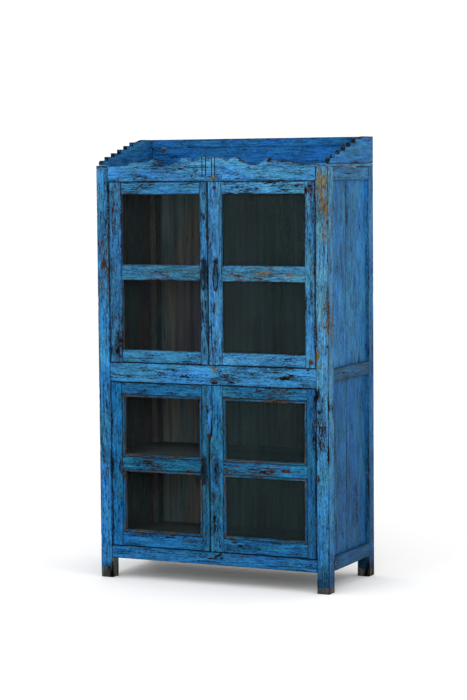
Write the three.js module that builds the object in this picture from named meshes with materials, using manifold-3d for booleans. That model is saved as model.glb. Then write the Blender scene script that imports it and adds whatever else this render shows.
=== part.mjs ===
// China cabinet with glass doors: a painted two-tier cupboard on four posts, with a scalloped
// crest, a stepped gallery on top, four glazed doors, drop pulls and turn buttons.
// Millimetres, +Z up, front towards -Y, origin on the floor under the middle of the object.
import * as THREE from "three";
import { mergeVertices } from "three/addons/utils/BufferGeometryUtils.js";
import Module from "manifold-3d";

const wasm = await Module();
wasm.setup();

// Overall size.
const WIDTH = 1022;
const CASE_DEPTH = 476;
const HEIGHT = 1800;
const GAP = 0.3;

// Posts, rails and panels.
const POST = 54;
const FOOT_CHAMFER = 2;
const CASE_TOP = 1677;
const FRONT_RAIL_THICKNESS = 24;
const SIDE_RAIL_THICKNESS = 30;
const TENON_LENGTH = 25;
const FRONT_TENON_THICKNESS = 8;
const FRONT_TENON_SHOULDER = 8;
const SIDE_TENON_THICKNESS = 10;
const SIDE_TENON_SHOULDER = 12;
const PANEL_THICKNESS = 10;
const PANEL_RECESS = 15;
const GROOVE_DEPTH = 8;
const BACK_PANEL_THICKNESS = 12;
const BACK_PANEL_RABBET = 12;
const BACK_PANEL_BOTTOM = 90;
const FRONT_RAILS = { top: [1625, CASE_TOP], middle: [811.5, 890], bottom: [83, 135.5] };
const SIDE_RAILS = { top: [1625, CASE_TOP], middle: [835, 888], bottom: [85, 142] };

// Boards that lie flat in the case, housed in the posts.
const HOUSING_DEPTH = 8;
const TIER_BOARD_SETBACK = 27;
const SHELF_SETBACK = 33;
const BOARDS = {
  bottom_board: { z: [142.3, 166], setback: TIER_BOARD_SETBACK },
  lower_shelf: { z: [494, 512], setback: SHELF_SETBACK },
  middle_board: { z: [888.3, 905], setback: TIER_BOARD_SETBACK },
  upper_shelf: { z: [1236, 1254], setback: SHELF_SETBACK },
};
const TOP_BOARD_THICKNESS = 14;

// Gallery on the top board.
const GALLERY_THICKNESS = 20;
const GALLERY_FRONT_SETBACK = 22;
const GALLERY_NOSE_HEIGHT = 1712;
const GALLERY_FIRST_RISER = -167.5;
const GALLERY_STEPS = 5;
const GALLERY_STEP_RUN = 54.5;
const GALLERY_STEP_RISE = 15.3;
const GALLERY_SWEEP_START = 85;
const GALLERY_SWEEP_END = 150;

// Doors.
const DOOR_THICKNESS = 24;
const DOOR_LIP = 12;
const REBATE = 7;
const GLASS_THICKNESS = 3;
const GLASS_CLEARANCE = 0.5;
const DOOR_TO_POST = 3;
const DOOR_TO_RAIL = 2.5;
const MEETING_X = -9;
const MEETING_GAP = 3;
const DOORS = {
  upper_left: {
    side: -1, rails: ["middle", "top"], paneX: [-397, -44], panes: [[944, 1227], [1291, 1573]],
  },
  upper_right: {
    side: 1, rails: ["middle", "top"], paneX: [53, 412], panes: [[944, 1227], [1291, 1573]],
  },
  lower_left: {
    side: -1, rails: ["bottom", "middle"], paneX: [-393, -55], panes: [[206, 443], [517, 750]],
  },
  lower_right: {
    side: 1, rails: ["bottom", "middle"], paneX: [63, 405], panes: [[206, 443], [517, 750]],
  },
};

// Butt hinges, with their barrels in front of the door and post.
const HINGE_LENGTH = 85;
const HINGE_FROM_DOOR_END = 123;
const BARREL_RADIUS = 4;
const BARREL_STANDOFF = 4.4;
const LEAF_THICKNESS = 1.2;
const LEAF_DEPTH = 22;

// Drop pulls.
const PULL_PIVOT_STANDOFF = 8.5;
const PULL_PIN_RADIUS = 2;
const PULL_EYE_RADIUS = 5;
const PULL_EYE_BORE = 2.4;
const PULL_EYE_LENGTH = 8;
const ROSE_RADII = [11, 15];
const ROSE_THICKNESS = 2.5;
const CHEEK_INSIDE = 5.5;
const CHEEK_THICKNESS = 2.5;
const CHEEK_RADIUS = 4;
const LOOP_WIDTH = 26;
const LOOP_BAR = 4.5;
const LOOP_BEVEL = 1;
const PULLS = {
  upper_left: { x: -26, z: 1308, length: 118 },
  upper_right: { x: 28, z: 1306, length: 118 },
  lower_left: { x: -33, z: 512, length: 97 },
  lower_right: { x: 21, z: 511, length: 97 },
};

// Turn buttons, each on a screw through a rail; tilt is from upright, positive leaning right.
const BUTTON_CLEARANCE = 0.6;
const SCREW_RADIUS = 2.2;
const SCREW_HOLE_RADIUS = 2.5;
const SCREW_DEPTH = 14;
const SCREW_HEAD_RADIUS = 3.6;
const SCREW_HEAD_HEIGHT = 1.5;
const BUTTONS = {
  top_rail_turn_button: { rail: "top", x: 17.5, z: 1636.5, tilt: 35, length: 29, width: 10, thickness: 6 },
  middle_rail_upper_turn_button: {
    rail: "middle", x: 17, z: 877.5, tilt: -50, length: 37, width: 10, thickness: 6,
  },
  middle_rail_lower_turn_button: {
    rail: "middle", x: 16.5, z: 820, tilt: 82, length: 26, width: 9, thickness: 3,
  },
  bottom_rail_turn_button: { rail: "bottom", x: 27, z: 124, tilt: 64, length: 36, width: 10, thickness: 3 },
};

// Worked out from the above.
const SIDE = WIDTH / 2;
const FRONT = -CASE_DEPTH / 2;
const BACK = CASE_DEPTH / 2;
const POST_INNER = SIDE - POST;
const POST_BEHIND_FRONT = FRONT + POST;
const POST_BEFORE_BACK = BACK - POST;
const PANEL_OUTER = SIDE - PANEL_RECESS;
const PANEL_INNER = PANEL_OUTER - PANEL_THICKNESS;
const BACK_PANEL_FRONT = BACK - BACK_PANEL_THICKNESS;
const BOARD_HALF_WIDTH = PANEL_INNER - 0.5;
const DOOR_OUTER = POST_INNER - DOOR_TO_POST;
const HINGE_X = DOOR_OUTER + DOOR_TO_POST / 2;
const HINGE_Y = FRONT - BARREL_STANDOFF;
const DECK = CASE_TOP + TOP_BOARD_THICKNESS;
const PROUD = PULL_PIVOT_STANDOFF + PULL_EYE_RADIUS;

// Finishes.
const paint = (colour, roughness = 0.6) => new THREE.MeshStandardMaterial({ color: colour, roughness });
const FINISH = {
  case_paint: paint(0x3a7cb8),
  side_paint: paint(0x2c66a6),
  door_paint: paint(0x3f86c4),
  inside: paint(0x2c2a22, 0.85),
  glass: new THREE.MeshStandardMaterial({
    color: 0xb8c8c4, roughness: 0.05, metalness: 0, transparent: true, opacity: 0.25,
  }),
  iron: new THREE.MeshStandardMaterial({ color: 0x3a3431, roughness: 0.65, metalness: 0.8 }),
  button: new THREE.MeshStandardMaterial({ color: 0xa08452, roughness: 0.55, metalness: 0.3 }),
};

const cabinet = new THREE.Group();
cabinet.name = "china_cabinet";
cabinet.position.y = PROUD / 2;

// A box from its three ranges.
function box(x, y, z) {
  return { x, y, z };
}

function mirrored({ x, y, z }) {
  return box([-x[1], -x[0]], y, z);
}

function onSide(side, shape) {
  return side < 0 ? mirrored(shape) : shape;
}

function grown({ x, y, z }, by) {
  return box([x[0] - by, x[1] + by], [y[0] - by, y[1] + by], [z[0] - by, z[1] + by]);
}

function boxGeometry({ x, y, z }) {
  const geometry = new THREE.BoxGeometry(x[1] - x[0], y[1] - y[0], z[1] - z[0]);
  geometry.translate((x[0] + x[1]) / 2, (y[0] + y[1]) / 2, (z[0] + z[1]) / 2);
  return geometry;
}

// A closed geometry, or a box, as a solid that can be joined and cut.
function solid(source) {
  const geometry = source.isBufferGeometry ? source.clone() : boxGeometry(source);
  geometry.deleteAttribute("normal");
  geometry.deleteAttribute("uv");
  const merged = mergeVertices(geometry, 1e-4);
  const vertProperties = merged.attributes.position.array;
  const triVerts = new Uint32Array(merged.index.array);
  return new wasm.Manifold(new wasm.Mesh({ numProp: 3, vertProperties, triVerts }));
}

function geometryOf(manifold) {
  const mesh = manifold.getMesh();
  const geometry = new THREE.BufferGeometry();
  geometry.setAttribute("position", new THREE.BufferAttribute(mesh.vertProperties, 3));
  geometry.setIndex(new THREE.BufferAttribute(mesh.triVerts, 1));
  const flat = geometry.toNonIndexed();
  flat.computeVertexNormals();
  return flat;
}

// One named piece: everything in added joined, less everything in removed.
function piece(name, finish, added, removed = []) {
  let result = solid(added[0]);
  for (const extra of added.slice(1)) {
    result = result.add(solid(extra));
  }
  for (const cut of removed) {
    result = result.subtract(cut instanceof wasm.Manifold ? cut : solid(cut));
  }
  const mesh = new THREE.Mesh(geometryOf(result), FINISH[finish].clone());
  mesh.name = name;
  cabinet.add(mesh);
  return mesh;
}

// A flat outline in the X-Z plane given a thickness along Y from y0 to y1.
function plateFacingY(shape, y0, y1, bevel = 0) {
  const geometry = new THREE.ExtrudeGeometry(shape, {
    depth: y1 - y0 - 2 * bevel,
    bevelEnabled: bevel > 0,
    bevelSize: bevel,
    bevelOffset: -bevel,
    bevelThickness: bevel,
    bevelSegments: 1,
    curveSegments: 10,
  });
  geometry.rotateX(Math.PI / 2);
  geometry.translate(0, y1 - bevel, 0);
  return geometry;
}

function cylinderAlong(axis, radius, from, to, a, b, segments = 24) {
  const geometry = new THREE.CylinderGeometry(radius, radius, to - from, segments);
  const middle = (from + to) / 2;
  if (axis === "x") {
    geometry.rotateZ(Math.PI / 2);
    geometry.translate(middle, a, b);
  } else if (axis === "y") {
    geometry.translate(a, middle, b);
  } else {
    geometry.rotateX(Math.PI / 2);
    geometry.translate(a, b, middle);
  }
  return geometry;
}

// Boards that lie flat: the whole outline, and the part of a post that it goes round.
function boardBlock({ z, setback }) {
  return box([-BOARD_HALF_WIDTH, BOARD_HALF_WIDTH], [FRONT + setback, BACK_PANEL_FRONT - GAP], z);
}

function postCore(side, end, slack) {
  const y = end < 0
    ? [FRONT - 1, POST_BEHIND_FRONT - HOUSING_DEPTH + slack]
    : [POST_BEFORE_BACK + HOUSING_DEPTH - slack, BACK + 1];
  return onSide(side, box([POST_INNER + HOUSING_DEPTH - slack, SIDE + 1], y, [0, HEIGHT]));
}

// The tenons on a rail's two ends.
function frontTenon(side, z) {
  const y0 = FRONT + FRONT_TENON_SHOULDER;
  const zRange = [z[0] + FRONT_TENON_SHOULDER, z[1] - FRONT_TENON_SHOULDER];
  const x = [POST_INNER - 1, POST_INNER + TENON_LENGTH];
  return onSide(side, box(x, [y0, y0 + FRONT_TENON_THICKNESS], zRange));
}

function sideTenon(side, end, z) {
  const x0 = SIDE - SIDE_TENON_SHOULDER - SIDE_TENON_THICKNESS;
  const zRange = [z[0] + SIDE_TENON_SHOULDER, z[1] - SIDE_TENON_SHOULDER];
  const y = end < 0
    ? [POST_BEHIND_FRONT - TENON_LENGTH, POST_BEHIND_FRONT + 1]
    : [POST_BEFORE_BACK - 1, POST_BEFORE_BACK + TENON_LENGTH];
  return onSide(side, box([x0, x0 + SIDE_TENON_THICKNESS], y, zRange));
}

// Side panels, which float in grooves in the posts and rails.
const PANEL_ROWS = {
  upper: [SIDE_RAILS.middle[1], SIDE_RAILS.top[0]],
  lower: [SIDE_RAILS.bottom[1], SIDE_RAILS.middle[0]],
};

function panelBlock(side, z) {
  const reach = GROOVE_DEPTH - GAP;
  const y = [POST_BEHIND_FRONT - reach, POST_BEFORE_BACK + reach];
  return onSide(side, box([PANEL_INNER, PANEL_OUTER], y, [z[0] - reach, z[1] + reach]));
}

function addPosts() {
  for (const [end, endName] of [[-1, "front"], [1, "rear"]]) {
    for (const [side, sideName] of [[-1, "left"], [1, "right"]]) {
      const half = POST / 2;
      const square = new THREE.Shape();
      square.moveTo(-half, -half);
      square.lineTo(half, -half);
      square.lineTo(half, half);
      square.lineTo(-half, half);
      const stick = new THREE.ExtrudeGeometry(square, {
        depth: CASE_TOP - 2 * FOOT_CHAMFER,
        bevelSize: FOOT_CHAMFER,
        bevelOffset: -FOOT_CHAMFER,
        bevelThickness: FOOT_CHAMFER,
        bevelSegments: 1,
      });
      stick.translate(side * (SIDE - half), end * (BACK - half), FOOT_CHAMFER);
      const cuts = [];
      for (const z of Object.values(SIDE_RAILS)) {
        cuts.push(grown(sideTenon(side, end, z), GAP));
      }
      for (const z of Object.values(PANEL_ROWS)) {
        cuts.push(grown(panelBlock(side, z), GAP));
      }
      for (const board of Object.values(BOARDS)) {
        const housing = solid(grown(boardBlock(board), GAP));
        cuts.push(housing.subtract(solid(postCore(side, end, 0))));
      }
      if (end < 0) {
        for (const z of Object.values(FRONT_RAILS)) {
          cuts.push(grown(frontTenon(side, z), GAP));
        }
      } else {
        const rabbet = box([0, POST_INNER + BACK_PANEL_RABBET], [BACK_PANEL_FRONT, BACK + 1],
          [BACK_PANEL_BOTTOM - GAP, HEIGHT]);
        cuts.push(onSide(side, rabbet));
      }
      piece(`${endName}_${sideName}_post`, "case_paint", [stick], cuts);
    }
  }
}

function buttonHole(button) {
  const y0 = FRONT - 1;
  const y1 = FRONT + SCREW_DEPTH + GAP;
  return cylinderAlong("y", SCREW_HOLE_RADIUS, y0, y1, button.x, button.z);
}

// The right half of the crest, from the notch in the middle out to the post: lobes that meet
// in cusps, then a long shoulder that falls away to the post.
function crestShape(halfWidth, bottom) {
  const lobes = [
    [[0, 1713], [16, 1721], [34, 1723], [57, 1715], [76, 1702]],
    [[76, 1702], [95, 1716], [118, 1720], [140, 1706], [181, 1689], [212, 1690], [231, 1702], [260, 1716]],
    [[260, 1716], [270, 1707], [299, 1704], [340, 1703], [358, 1701]],
    [[358, 1701], [371, 1692], [399, 1689], [halfWidth, 1687]],
  ];
  const curves = lobes.map((points) => {
    return new THREE.SplineCurve(points.map(([x, z]) => new THREE.Vector2(x, z)));
  });
  const half = curves.flatMap((curve) => curve.getPoints(16)).filter((p, i, all) => {
    return i === 0 || p.distanceTo(all[i - 1]) > 0.01;
  });
  const shape = new THREE.Shape();
  shape.moveTo(-halfWidth, bottom);
  shape.lineTo(halfWidth, bottom);
  for (const p of [...half].reverse()) {
    shape.lineTo(p.x, p.y);
  }
  for (const p of half.slice(1)) {
    shape.lineTo(-p.x, p.y);
  }
  return shape;
}

function addFrontRails() {
  const halfWidth = POST_INNER - GAP;
  const back = FRONT + FRONT_RAIL_THICKNESS;
  for (const [name, z] of Object.entries(FRONT_RAILS)) {
    const holes = Object.values(BUTTONS).filter((button) => button.rail === name).map(buttonHole);
    const body = name === "top"
      ? plateFacingY(crestShape(halfWidth, z[0]), FRONT, back)
      : box([-halfWidth, halfWidth], [FRONT, back], z);
    const tenons = [frontTenon(-1, z), frontTenon(1, z)];
    piece(`front_${name}_rail`, "case_paint", [body, ...tenons], holes);
  }
}

function addSides() {
  for (const [side, sideName] of [[-1, "left"], [1, "right"]]) {
    const grooves = Object.values(PANEL_ROWS).map((z) => grown(panelBlock(side, z), GAP));
    for (const [name, z] of Object.entries(SIDE_RAILS)) {
      const x = [SIDE - SIDE_RAIL_THICKNESS, SIDE];
      const body = onSide(side, box(x, [POST_BEHIND_FRONT + GAP, POST_BEFORE_BACK - GAP], z));
      const tenons = [sideTenon(side, -1, z), sideTenon(side, 1, z)];
      piece(`${sideName}_${name}_rail`, "side_paint", [body, ...tenons], grooves);
    }
    for (const [name, z] of Object.entries(PANEL_ROWS)) {
      piece(`${sideName}_${name}_panel`, "side_paint", [panelBlock(side, z)]);
    }
  }
}

function addBack() {
  const half = POST_INNER + BACK_PANEL_RABBET - GAP;
  const split = (BOARDS.middle_board.z[0] + BOARDS.middle_board.z[1]) / 2;
  const y = [BACK_PANEL_FRONT + GAP, BACK];
  piece("lower_back_panel", "inside", [box([-half, half], y, [BACK_PANEL_BOTTOM, split - GAP])]);
  piece("upper_back_panel", "inside", [box([-half, half], y, [split, CASE_TOP])]);
}

function addBoards() {
  for (const [name, board] of Object.entries(BOARDS)) {
    const corners = [[-1, -1], [-1, 1], [1, -1], [1, 1]].map(([side, end]) => postCore(side, end, GAP));
    piece(name, "inside", [boardBlock(board)], corners);
  }
  const behindRail = FRONT + FRONT_RAIL_THICKNESS + GAP;
  const z = [CASE_TOP + GAP, DECK];
  const crestRoom = box([-POST_INNER, POST_INNER], [FRONT - 1, behindRail], [CASE_TOP, HEIGHT]);
  piece("top_board", "case_paint", [box([-SIDE, SIDE], [FRONT, BACK], z)], [crestRoom]);
}

// A gallery end: a rounded nose, steps rising to the back, then a sweep up to the full height.
function galleryEndShape() {
  const nose = FRONT + GALLERY_FRONT_SETBACK;
  const radius = 14;
  const firstTread = nose + radius;
  const base = DECK + GAP;
  const shape = new THREE.Shape();
  shape.moveTo(nose, base);
  shape.lineTo(nose, GALLERY_NOSE_HEIGHT - radius);
  shape.absarc(firstTread, GALLERY_NOSE_HEIGHT - radius, radius, Math.PI, Math.PI / 2, true);
  let y = GALLERY_FIRST_RISER;
  let z = GALLERY_NOSE_HEIGHT;
  for (let step = 0; step < GALLERY_STEPS; step += 1) {
    shape.lineTo(y, z);
    z += GALLERY_STEP_RISE;
    shape.lineTo(y, z);
    y += GALLERY_STEP_RUN;
  }
  shape.lineTo(GALLERY_SWEEP_START, z);
  const middle = (GALLERY_SWEEP_START + GALLERY_SWEEP_END) / 2;
  shape.bezierCurveTo(middle, z, middle, HEIGHT, GALLERY_SWEEP_END, HEIGHT);
  shape.lineTo(BACK, HEIGHT);
  shape.lineTo(BACK, base);
  return shape;
}

function addGallery() {
  for (const [side, sideName] of [[-1, "left"], [1, "right"]]) {
    const plate = plateFacingY(galleryEndShape(), 0, GALLERY_THICKNESS);
    plate.rotateZ(Math.PI / 2);
    plate.translate(side < 0 ? GALLERY_THICKNESS - SIDE : SIDE, 0, 0);
    piece(`gallery_${sideName}_end`, "side_paint", [plate]);
  }
  const half = SIDE - GALLERY_THICKNESS - GAP;
  const y = [BACK - GALLERY_THICKNESS, BACK];
  piece("gallery_back", "case_paint", [box([-half, half], y, [DECK + GAP, HEIGHT])]);
}

function addDoor(name, { side, rails, paneX, panes }) {
  const meeting = MEETING_X + side * MEETING_GAP / 2;
  const x = side < 0 ? [-DOOR_OUTER, meeting] : [meeting, DOOR_OUTER];
  const z = [FRONT_RAILS[rails[0]][1] + DOOR_TO_RAIL, FRONT_RAILS[rails[1]][0] - DOOR_TO_RAIL];
  const slab = box(x, [FRONT, FRONT + DOOR_THICKNESS], z);
  const cuts = [];
  for (const [i, pane] of panes.entries()) {
    const opening = box(paneX, [FRONT - 1, FRONT + DOOR_THICKNESS + 1], pane);
    const seat = [FRONT + DOOR_LIP, FRONT + DOOR_THICKNESS + 1];
    const spread = (range, by) => [range[0] - by, range[1] + by];
    cuts.push(opening, box(spread(paneX, REBATE), seat, spread(pane, REBATE)));
    const fit = REBATE - GLASS_CLEARANCE;
    const glassY = [seat[0] + GAP, seat[0] + GAP + GLASS_THICKNESS];
    const position = i === 0 ? "lower" : "upper";
    piece(`${name}_door_${position}_glass`, "glass", [box(spread(paneX, fit), glassY, spread(pane, fit))]);
  }
  piece(`${name}_door_frame`, "door_paint", [slab], cuts);
  addHinge(`${name}_door_lower_hinge`, side, z[0] + HINGE_FROM_DOOR_END);
  addHinge(`${name}_door_upper_hinge`, side, z[1] - HINGE_FROM_DOOR_END);
}

// A hinge's barrel and the leaf that is fixed to the post.
function addHinge(name, side, middle) {
  const z = [middle - HINGE_LENGTH / 2, middle + HINGE_LENGTH / 2];
  const barrel = cylinderAlong("z", BARREL_RADIUS, z[0], z[1], side * HINGE_X, HINGE_Y);
  const leafX = [POST_INNER - GAP - LEAF_THICKNESS, POST_INNER - GAP];
  const leaf = onSide(side, box(leafX, [HINGE_Y, FRONT + LEAF_DEPTH], z));
  piece(name, "iron", [barrel, leaf]);
}

function ellipseShape(rx, rz, x, z) {
  const shape = new THREE.Shape();
  shape.absellipse(x, z, rx, rz, 0, 2 * Math.PI);
  return shape;
}

// A pull: a rose with two cheeks and a pin, and a loop that hangs on the pin by an eye.
function addPull(name, { x, z, length }) {
  const pivotY = FRONT - PULL_PIVOT_STANDOFF;
  const plate = plateFacingY(ellipseShape(...ROSE_RADII, x, z), FRONT - GAP - ROSE_THICKNESS, FRONT - GAP);
  const rose = [plate];
  for (const side of [-1, 1]) {
    const inner = x + side * CHEEK_INSIDE;
    const outer = inner + side * CHEEK_THICKNESS;
    const range = [Math.min(inner, outer), Math.max(inner, outer)];
    rose.push(cylinderAlong("x", CHEEK_RADIUS, ...range, pivotY, z));
    rose.push(box(range, [pivotY, FRONT - GAP - 1], [z - CHEEK_RADIUS + 1, z + CHEEK_RADIUS - 1]));
  }
  const pinEnd = CHEEK_INSIDE + CHEEK_THICKNESS - 0.5;
  rose.push(cylinderAlong("x", PULL_PIN_RADIUS, x - pinEnd, x + pinEnd, pivotY, z));
  piece(`${name}_pull_rose`, "iron", rose);

  const halfEye = PULL_EYE_LENGTH / 2;
  const eye = cylinderAlong("x", PULL_EYE_RADIUS, x - halfEye, x + halfEye, pivotY, z);
  const top = z - PULL_EYE_BORE - 1;
  const halfHeight = (top - (z - length)) / 2;
  const middle = top - halfHeight;
  const loopShape = ellipseShape(LOOP_WIDTH / 2, halfHeight, x, middle);
  loopShape.holes.push(ellipseShape(LOOP_WIDTH / 2 - LOOP_BAR, halfHeight - LOOP_BAR, x, middle));
  const loop = plateFacingY(loopShape, pivotY - LOOP_BAR / 2, pivotY + LOOP_BAR / 2, LOOP_BEVEL);
  const bore = cylinderAlong("x", PULL_EYE_BORE, x - halfEye - 1, x + halfEye + 1, pivotY, z);
  piece(`${name}_pull_drop`, "iron", [eye, loop], [bore]);
}

function addButton(name, { x, z, tilt, length, width, thickness }) {
  const reach = (length - width) / 2;
  const outline = new THREE.Shape();
  outline.absarc(0, reach, width / 2, 0, Math.PI, false);
  outline.absarc(0, -reach, width / 2, Math.PI, 2 * Math.PI, false);
  const backY = FRONT - BUTTON_CLEARANCE;
  const frontY = backY - thickness;
  const slat = plateFacingY(outline, frontY, backY);
  slat.rotateY(THREE.MathUtils.degToRad(tilt));
  slat.translate(x, 0, z);
  const shank = cylinderAlong("y", SCREW_RADIUS, backY - 1, FRONT + SCREW_DEPTH, x, z);
  const head = cylinderAlong("y", SCREW_HEAD_RADIUS, frontY - SCREW_HEAD_HEIGHT, frontY + 0.5, x, z);
  piece(name, "button", [slat, shank, head]);
}

addPosts();
addFrontRails();
addSides();
addBack();
addBoards();
addGallery();
for (const [name, door] of Object.entries(DOORS)) {
  addDoor(name, door);
}
for (const [name, pull] of Object.entries(PULLS)) {
  addPull(name, pull);
}
for (const [name, button] of Object.entries(BUTTONS)) {
  addButton(name, button);
}

export default cabinet;
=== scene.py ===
import math

import bpy
import numpy as np
from mathutils import Matrix, Vector

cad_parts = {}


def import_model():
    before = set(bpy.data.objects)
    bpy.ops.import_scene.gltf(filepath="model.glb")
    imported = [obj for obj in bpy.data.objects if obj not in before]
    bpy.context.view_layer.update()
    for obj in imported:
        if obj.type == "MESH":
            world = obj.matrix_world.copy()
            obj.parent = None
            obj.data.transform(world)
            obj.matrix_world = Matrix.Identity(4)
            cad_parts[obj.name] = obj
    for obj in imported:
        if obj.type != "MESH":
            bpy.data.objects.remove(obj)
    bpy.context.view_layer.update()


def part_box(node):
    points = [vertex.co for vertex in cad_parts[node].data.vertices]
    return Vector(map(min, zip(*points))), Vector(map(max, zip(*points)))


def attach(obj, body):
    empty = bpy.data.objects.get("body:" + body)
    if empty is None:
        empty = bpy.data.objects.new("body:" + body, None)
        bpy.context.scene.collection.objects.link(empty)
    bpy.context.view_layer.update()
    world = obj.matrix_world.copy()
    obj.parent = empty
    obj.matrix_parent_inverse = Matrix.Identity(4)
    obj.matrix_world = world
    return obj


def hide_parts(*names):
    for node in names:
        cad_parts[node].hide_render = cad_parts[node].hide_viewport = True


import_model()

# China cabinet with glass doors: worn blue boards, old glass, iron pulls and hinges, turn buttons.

MM = 0.001
X, Y, Z = 0, 1, 2


def srgb(red, green, blue):
    """A linear colour from the 0 to 255 numbers that a colour picker shows."""
    share = np.array([red, green, blue]) / 255
    linear = np.where(share <= 0.04045, share / 12.92, ((share + 0.055) / 1.055) ** 2.4)
    return tuple(float(c) for c in linear)


# Camera: where the cabinet is seen from.
AIM = Vector((-0.0115, 0.0068, 0.9338))
DISTANCE = 8.928
AZIMUTH, PITCH, ROLL = math.radians(25.396), math.radians(4.594), 0.0084
LENS = 112.08


def add_camera():
    level = Vector((math.cos(AZIMUTH), math.sin(AZIMUTH), 0))
    away = Vector((-math.sin(AZIMUTH), math.cos(AZIMUTH), 0))
    forward = away * math.cos(PITCH) - Vector((0, 0, math.sin(PITCH)))
    upward = level.cross(forward)
    right = level * math.cos(ROLL) - upward * math.sin(ROLL)
    up = upward * math.cos(ROLL) + level * math.sin(ROLL)
    camera = bpy.data.objects.new("camera", bpy.data.cameras.new("camera"))
    bpy.context.scene.collection.objects.link(camera)
    camera.data.lens = LENS
    camera.data.sensor_width = 36
    camera.data.clip_end = 100
    turn = Matrix((right, up, -forward)).transposed().to_4x4()
    camera.matrix_world = Matrix.Translation(AIM - forward * DISTANCE) @ turn
    bpy.context.scene.camera = camera


add_camera()


# Noise for shapes.


def hashed(i, j, k, seed):
    mixed = np.atleast_1d(i * 73856093 ^ j * 19349663 ^ k * 83492791 ^ seed * 2654435761)
    mixed = (mixed ^ (mixed >> 13)) & 0xFFFFFFFF
    mixed = (mixed * 1274126177) & 0xFFFFFFFF
    mixed = ((mixed ^ (mixed >> 15)) * 2246822519) & 0xFFFFFFFF
    return ((mixed ^ (mixed >> 16)) & 0xFFFFFFFF) / 4294967295


def noise(x, y, z, seed):
    """Smooth noise from -1 to 1, one hump to each unit of length."""
    place = np.broadcast_arrays(*(np.asarray(v, float) for v in (x, y, z)))
    cells = [np.floor(v).astype(np.int64) for v in place]
    parts = [v - c for v, c in zip(place, cells)]
    parts = [p * p * (3 - 2 * p) for p in parts]
    total = np.zeros(place[0].shape)
    for corner in range(8):
        step = (corner & 1, corner >> 1 & 1, corner >> 2)
        weight = np.ones(total.shape)
        for part, s in zip(parts, step):
            weight = weight * (part if s else 1 - part)
        found = hashed(*[c + s for c, s in zip(cells, step)], seed)
        total = total + weight * found.reshape(total.shape)
    return total * 2 - 1


def smooth_step(low, high, value):
    t = np.clip((value - low) / (high - low), 0, 1)
    return t * t * (3 - 2 * t)


# Meshes.


def loft(loops, closed=False):
    """A skin over loops of equally many points: its points, quads and end faces."""
    loops = np.asarray(loops, float)
    rows, columns = loops.shape[:2]
    index = np.arange(rows * columns).reshape(rows, columns)
    first, second = (index, np.roll(index, -1, axis=0)) if closed else (index[:-1], index[1:])
    quads = np.stack([first, second, np.roll(second, -1, axis=1), np.roll(first, -1, axis=1)], axis=-1)
    caps = [] if closed else [index[0][::-1], index[-1]]
    return facing_out(loops.reshape(-1, 3), quads.reshape(-1, 4), caps)


def facing_out(points, quads, caps):
    """The same closed skin with its faces turned outward."""
    volume = 0.0
    for faces in (quads, *[cap[None] for cap in caps]):
        for k in range(1, faces.shape[1] - 1):
            first, second, third = points[faces[:, 0]], points[faces[:, k]], points[faces[:, k + 1]]
            volume += np.sum(first * np.cross(second, third))
    if volume < 0:
        quads, caps = quads[:, ::-1], [cap[::-1] for cap in caps]
    return points, quads, caps


def together(*skins):
    """Several skins as one."""
    points, quads, caps, start = [], [], [], 0
    for some_points, some_quads, some_caps in skins:
        points.append(some_points)
        quads.append(some_quads + start)
        caps.extend(cap + start for cap in some_caps)
        start += len(some_points)
    return np.concatenate(points), np.concatenate(quads), caps


SHARP_ANGLE = 0.6


def add_mesh(name, skin, attributes=None):
    points, quads, caps = skin
    sizes = np.array([4] * len(quads) + [len(cap) for cap in caps], np.int32)
    corners = np.concatenate([quads.ravel(), *caps]).astype(np.int32)
    mesh = bpy.data.meshes.new(name)
    mesh.vertices.add(len(points))
    mesh.vertices.foreach_set("co", np.asarray(points, np.float32).ravel())
    mesh.loops.add(len(corners))
    mesh.loops.foreach_set("vertex_index", corners)
    mesh.polygons.add(len(sizes))
    mesh.polygons.foreach_set("loop_start", (np.cumsum(sizes) - sizes).astype(np.int32))
    kinds = {1: ("FLOAT", "value"), 3: ("FLOAT_VECTOR", "vector"), 4: ("FLOAT_COLOR", "color")}
    for key, values in (attributes or {}).items():
        values = np.asarray(values, np.float32).reshape(len(points), -1)
        kind, field = kinds[values.shape[1]]
        mesh.attributes.new(key, kind, "POINT").data.foreach_set(field, values.ravel())
    mesh.update(calc_edges=True)
    mesh.validate()
    mesh.shade_smooth()
    mesh.set_sharp_from_angle(angle=SHARP_ANGLE)
    made = bpy.data.objects.new(name, mesh)
    bpy.context.scene.collection.objects.link(made)
    return made


def finish_piece(made, body, slot, material, nodes=()):
    made.data.materials.append(MATERIALS[material])
    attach(made, body)
    if nodes:
        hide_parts(*nodes)


# What shows where the paint is gone. The mark that stands last below, in place of a colour, darkens the
# paint that is left instead: painted shadow with soiling from hands round the pulls, and darker paint
# towards the floor and in a few other places.
BLACK = srgb(20, 20, 23)
DARK = srgb(44, 34, 28)
BROWN = srgb(70, 48, 32)
RUSSET = srgb(80, 50, 32)
MAROON = srgb(60, 19, 31)
OCHRE = srgb(124, 98, 34)
ORANGE = srgb(96, 62, 32)
TAN = srgb(116, 94, 68)
GRIME_AND_SHADE = None

# Sticks and boards: how fine their mesh is, how far in from an edge it is chipped, worn and dirty, how
# far the surface lies inside the CAD solid's, and how strong each kind of wear is.
STEP, SUPPORT = 5 * MM, 2.2 * MM
CHIP_REACH, EDGE_REACH, DIRT_REACH = 6 * MM, 2.4 * MM, 3 * MM
SKIN = 0.3 * MM
PLACE_WEAR, SWELL, EDGE_DIRT = 0.9, 0.3, 0.55
PLACE_RAGGED, PLACE_FRAYED = 11 * MM, 5 * MM
OVERALL_HEIGHT = 1.8

# Where the case's inside begins: this far in from its outer faces, and between these heights.
INSIDE_FROM_SIDE, INSIDE_FROM_FRONT, INSIDE_FROM_BACK = 23 * MM, 26 * MM, 2 * MM
INSIDE_HEIGHTS = (136 * MM, 1679 * MM)


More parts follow.
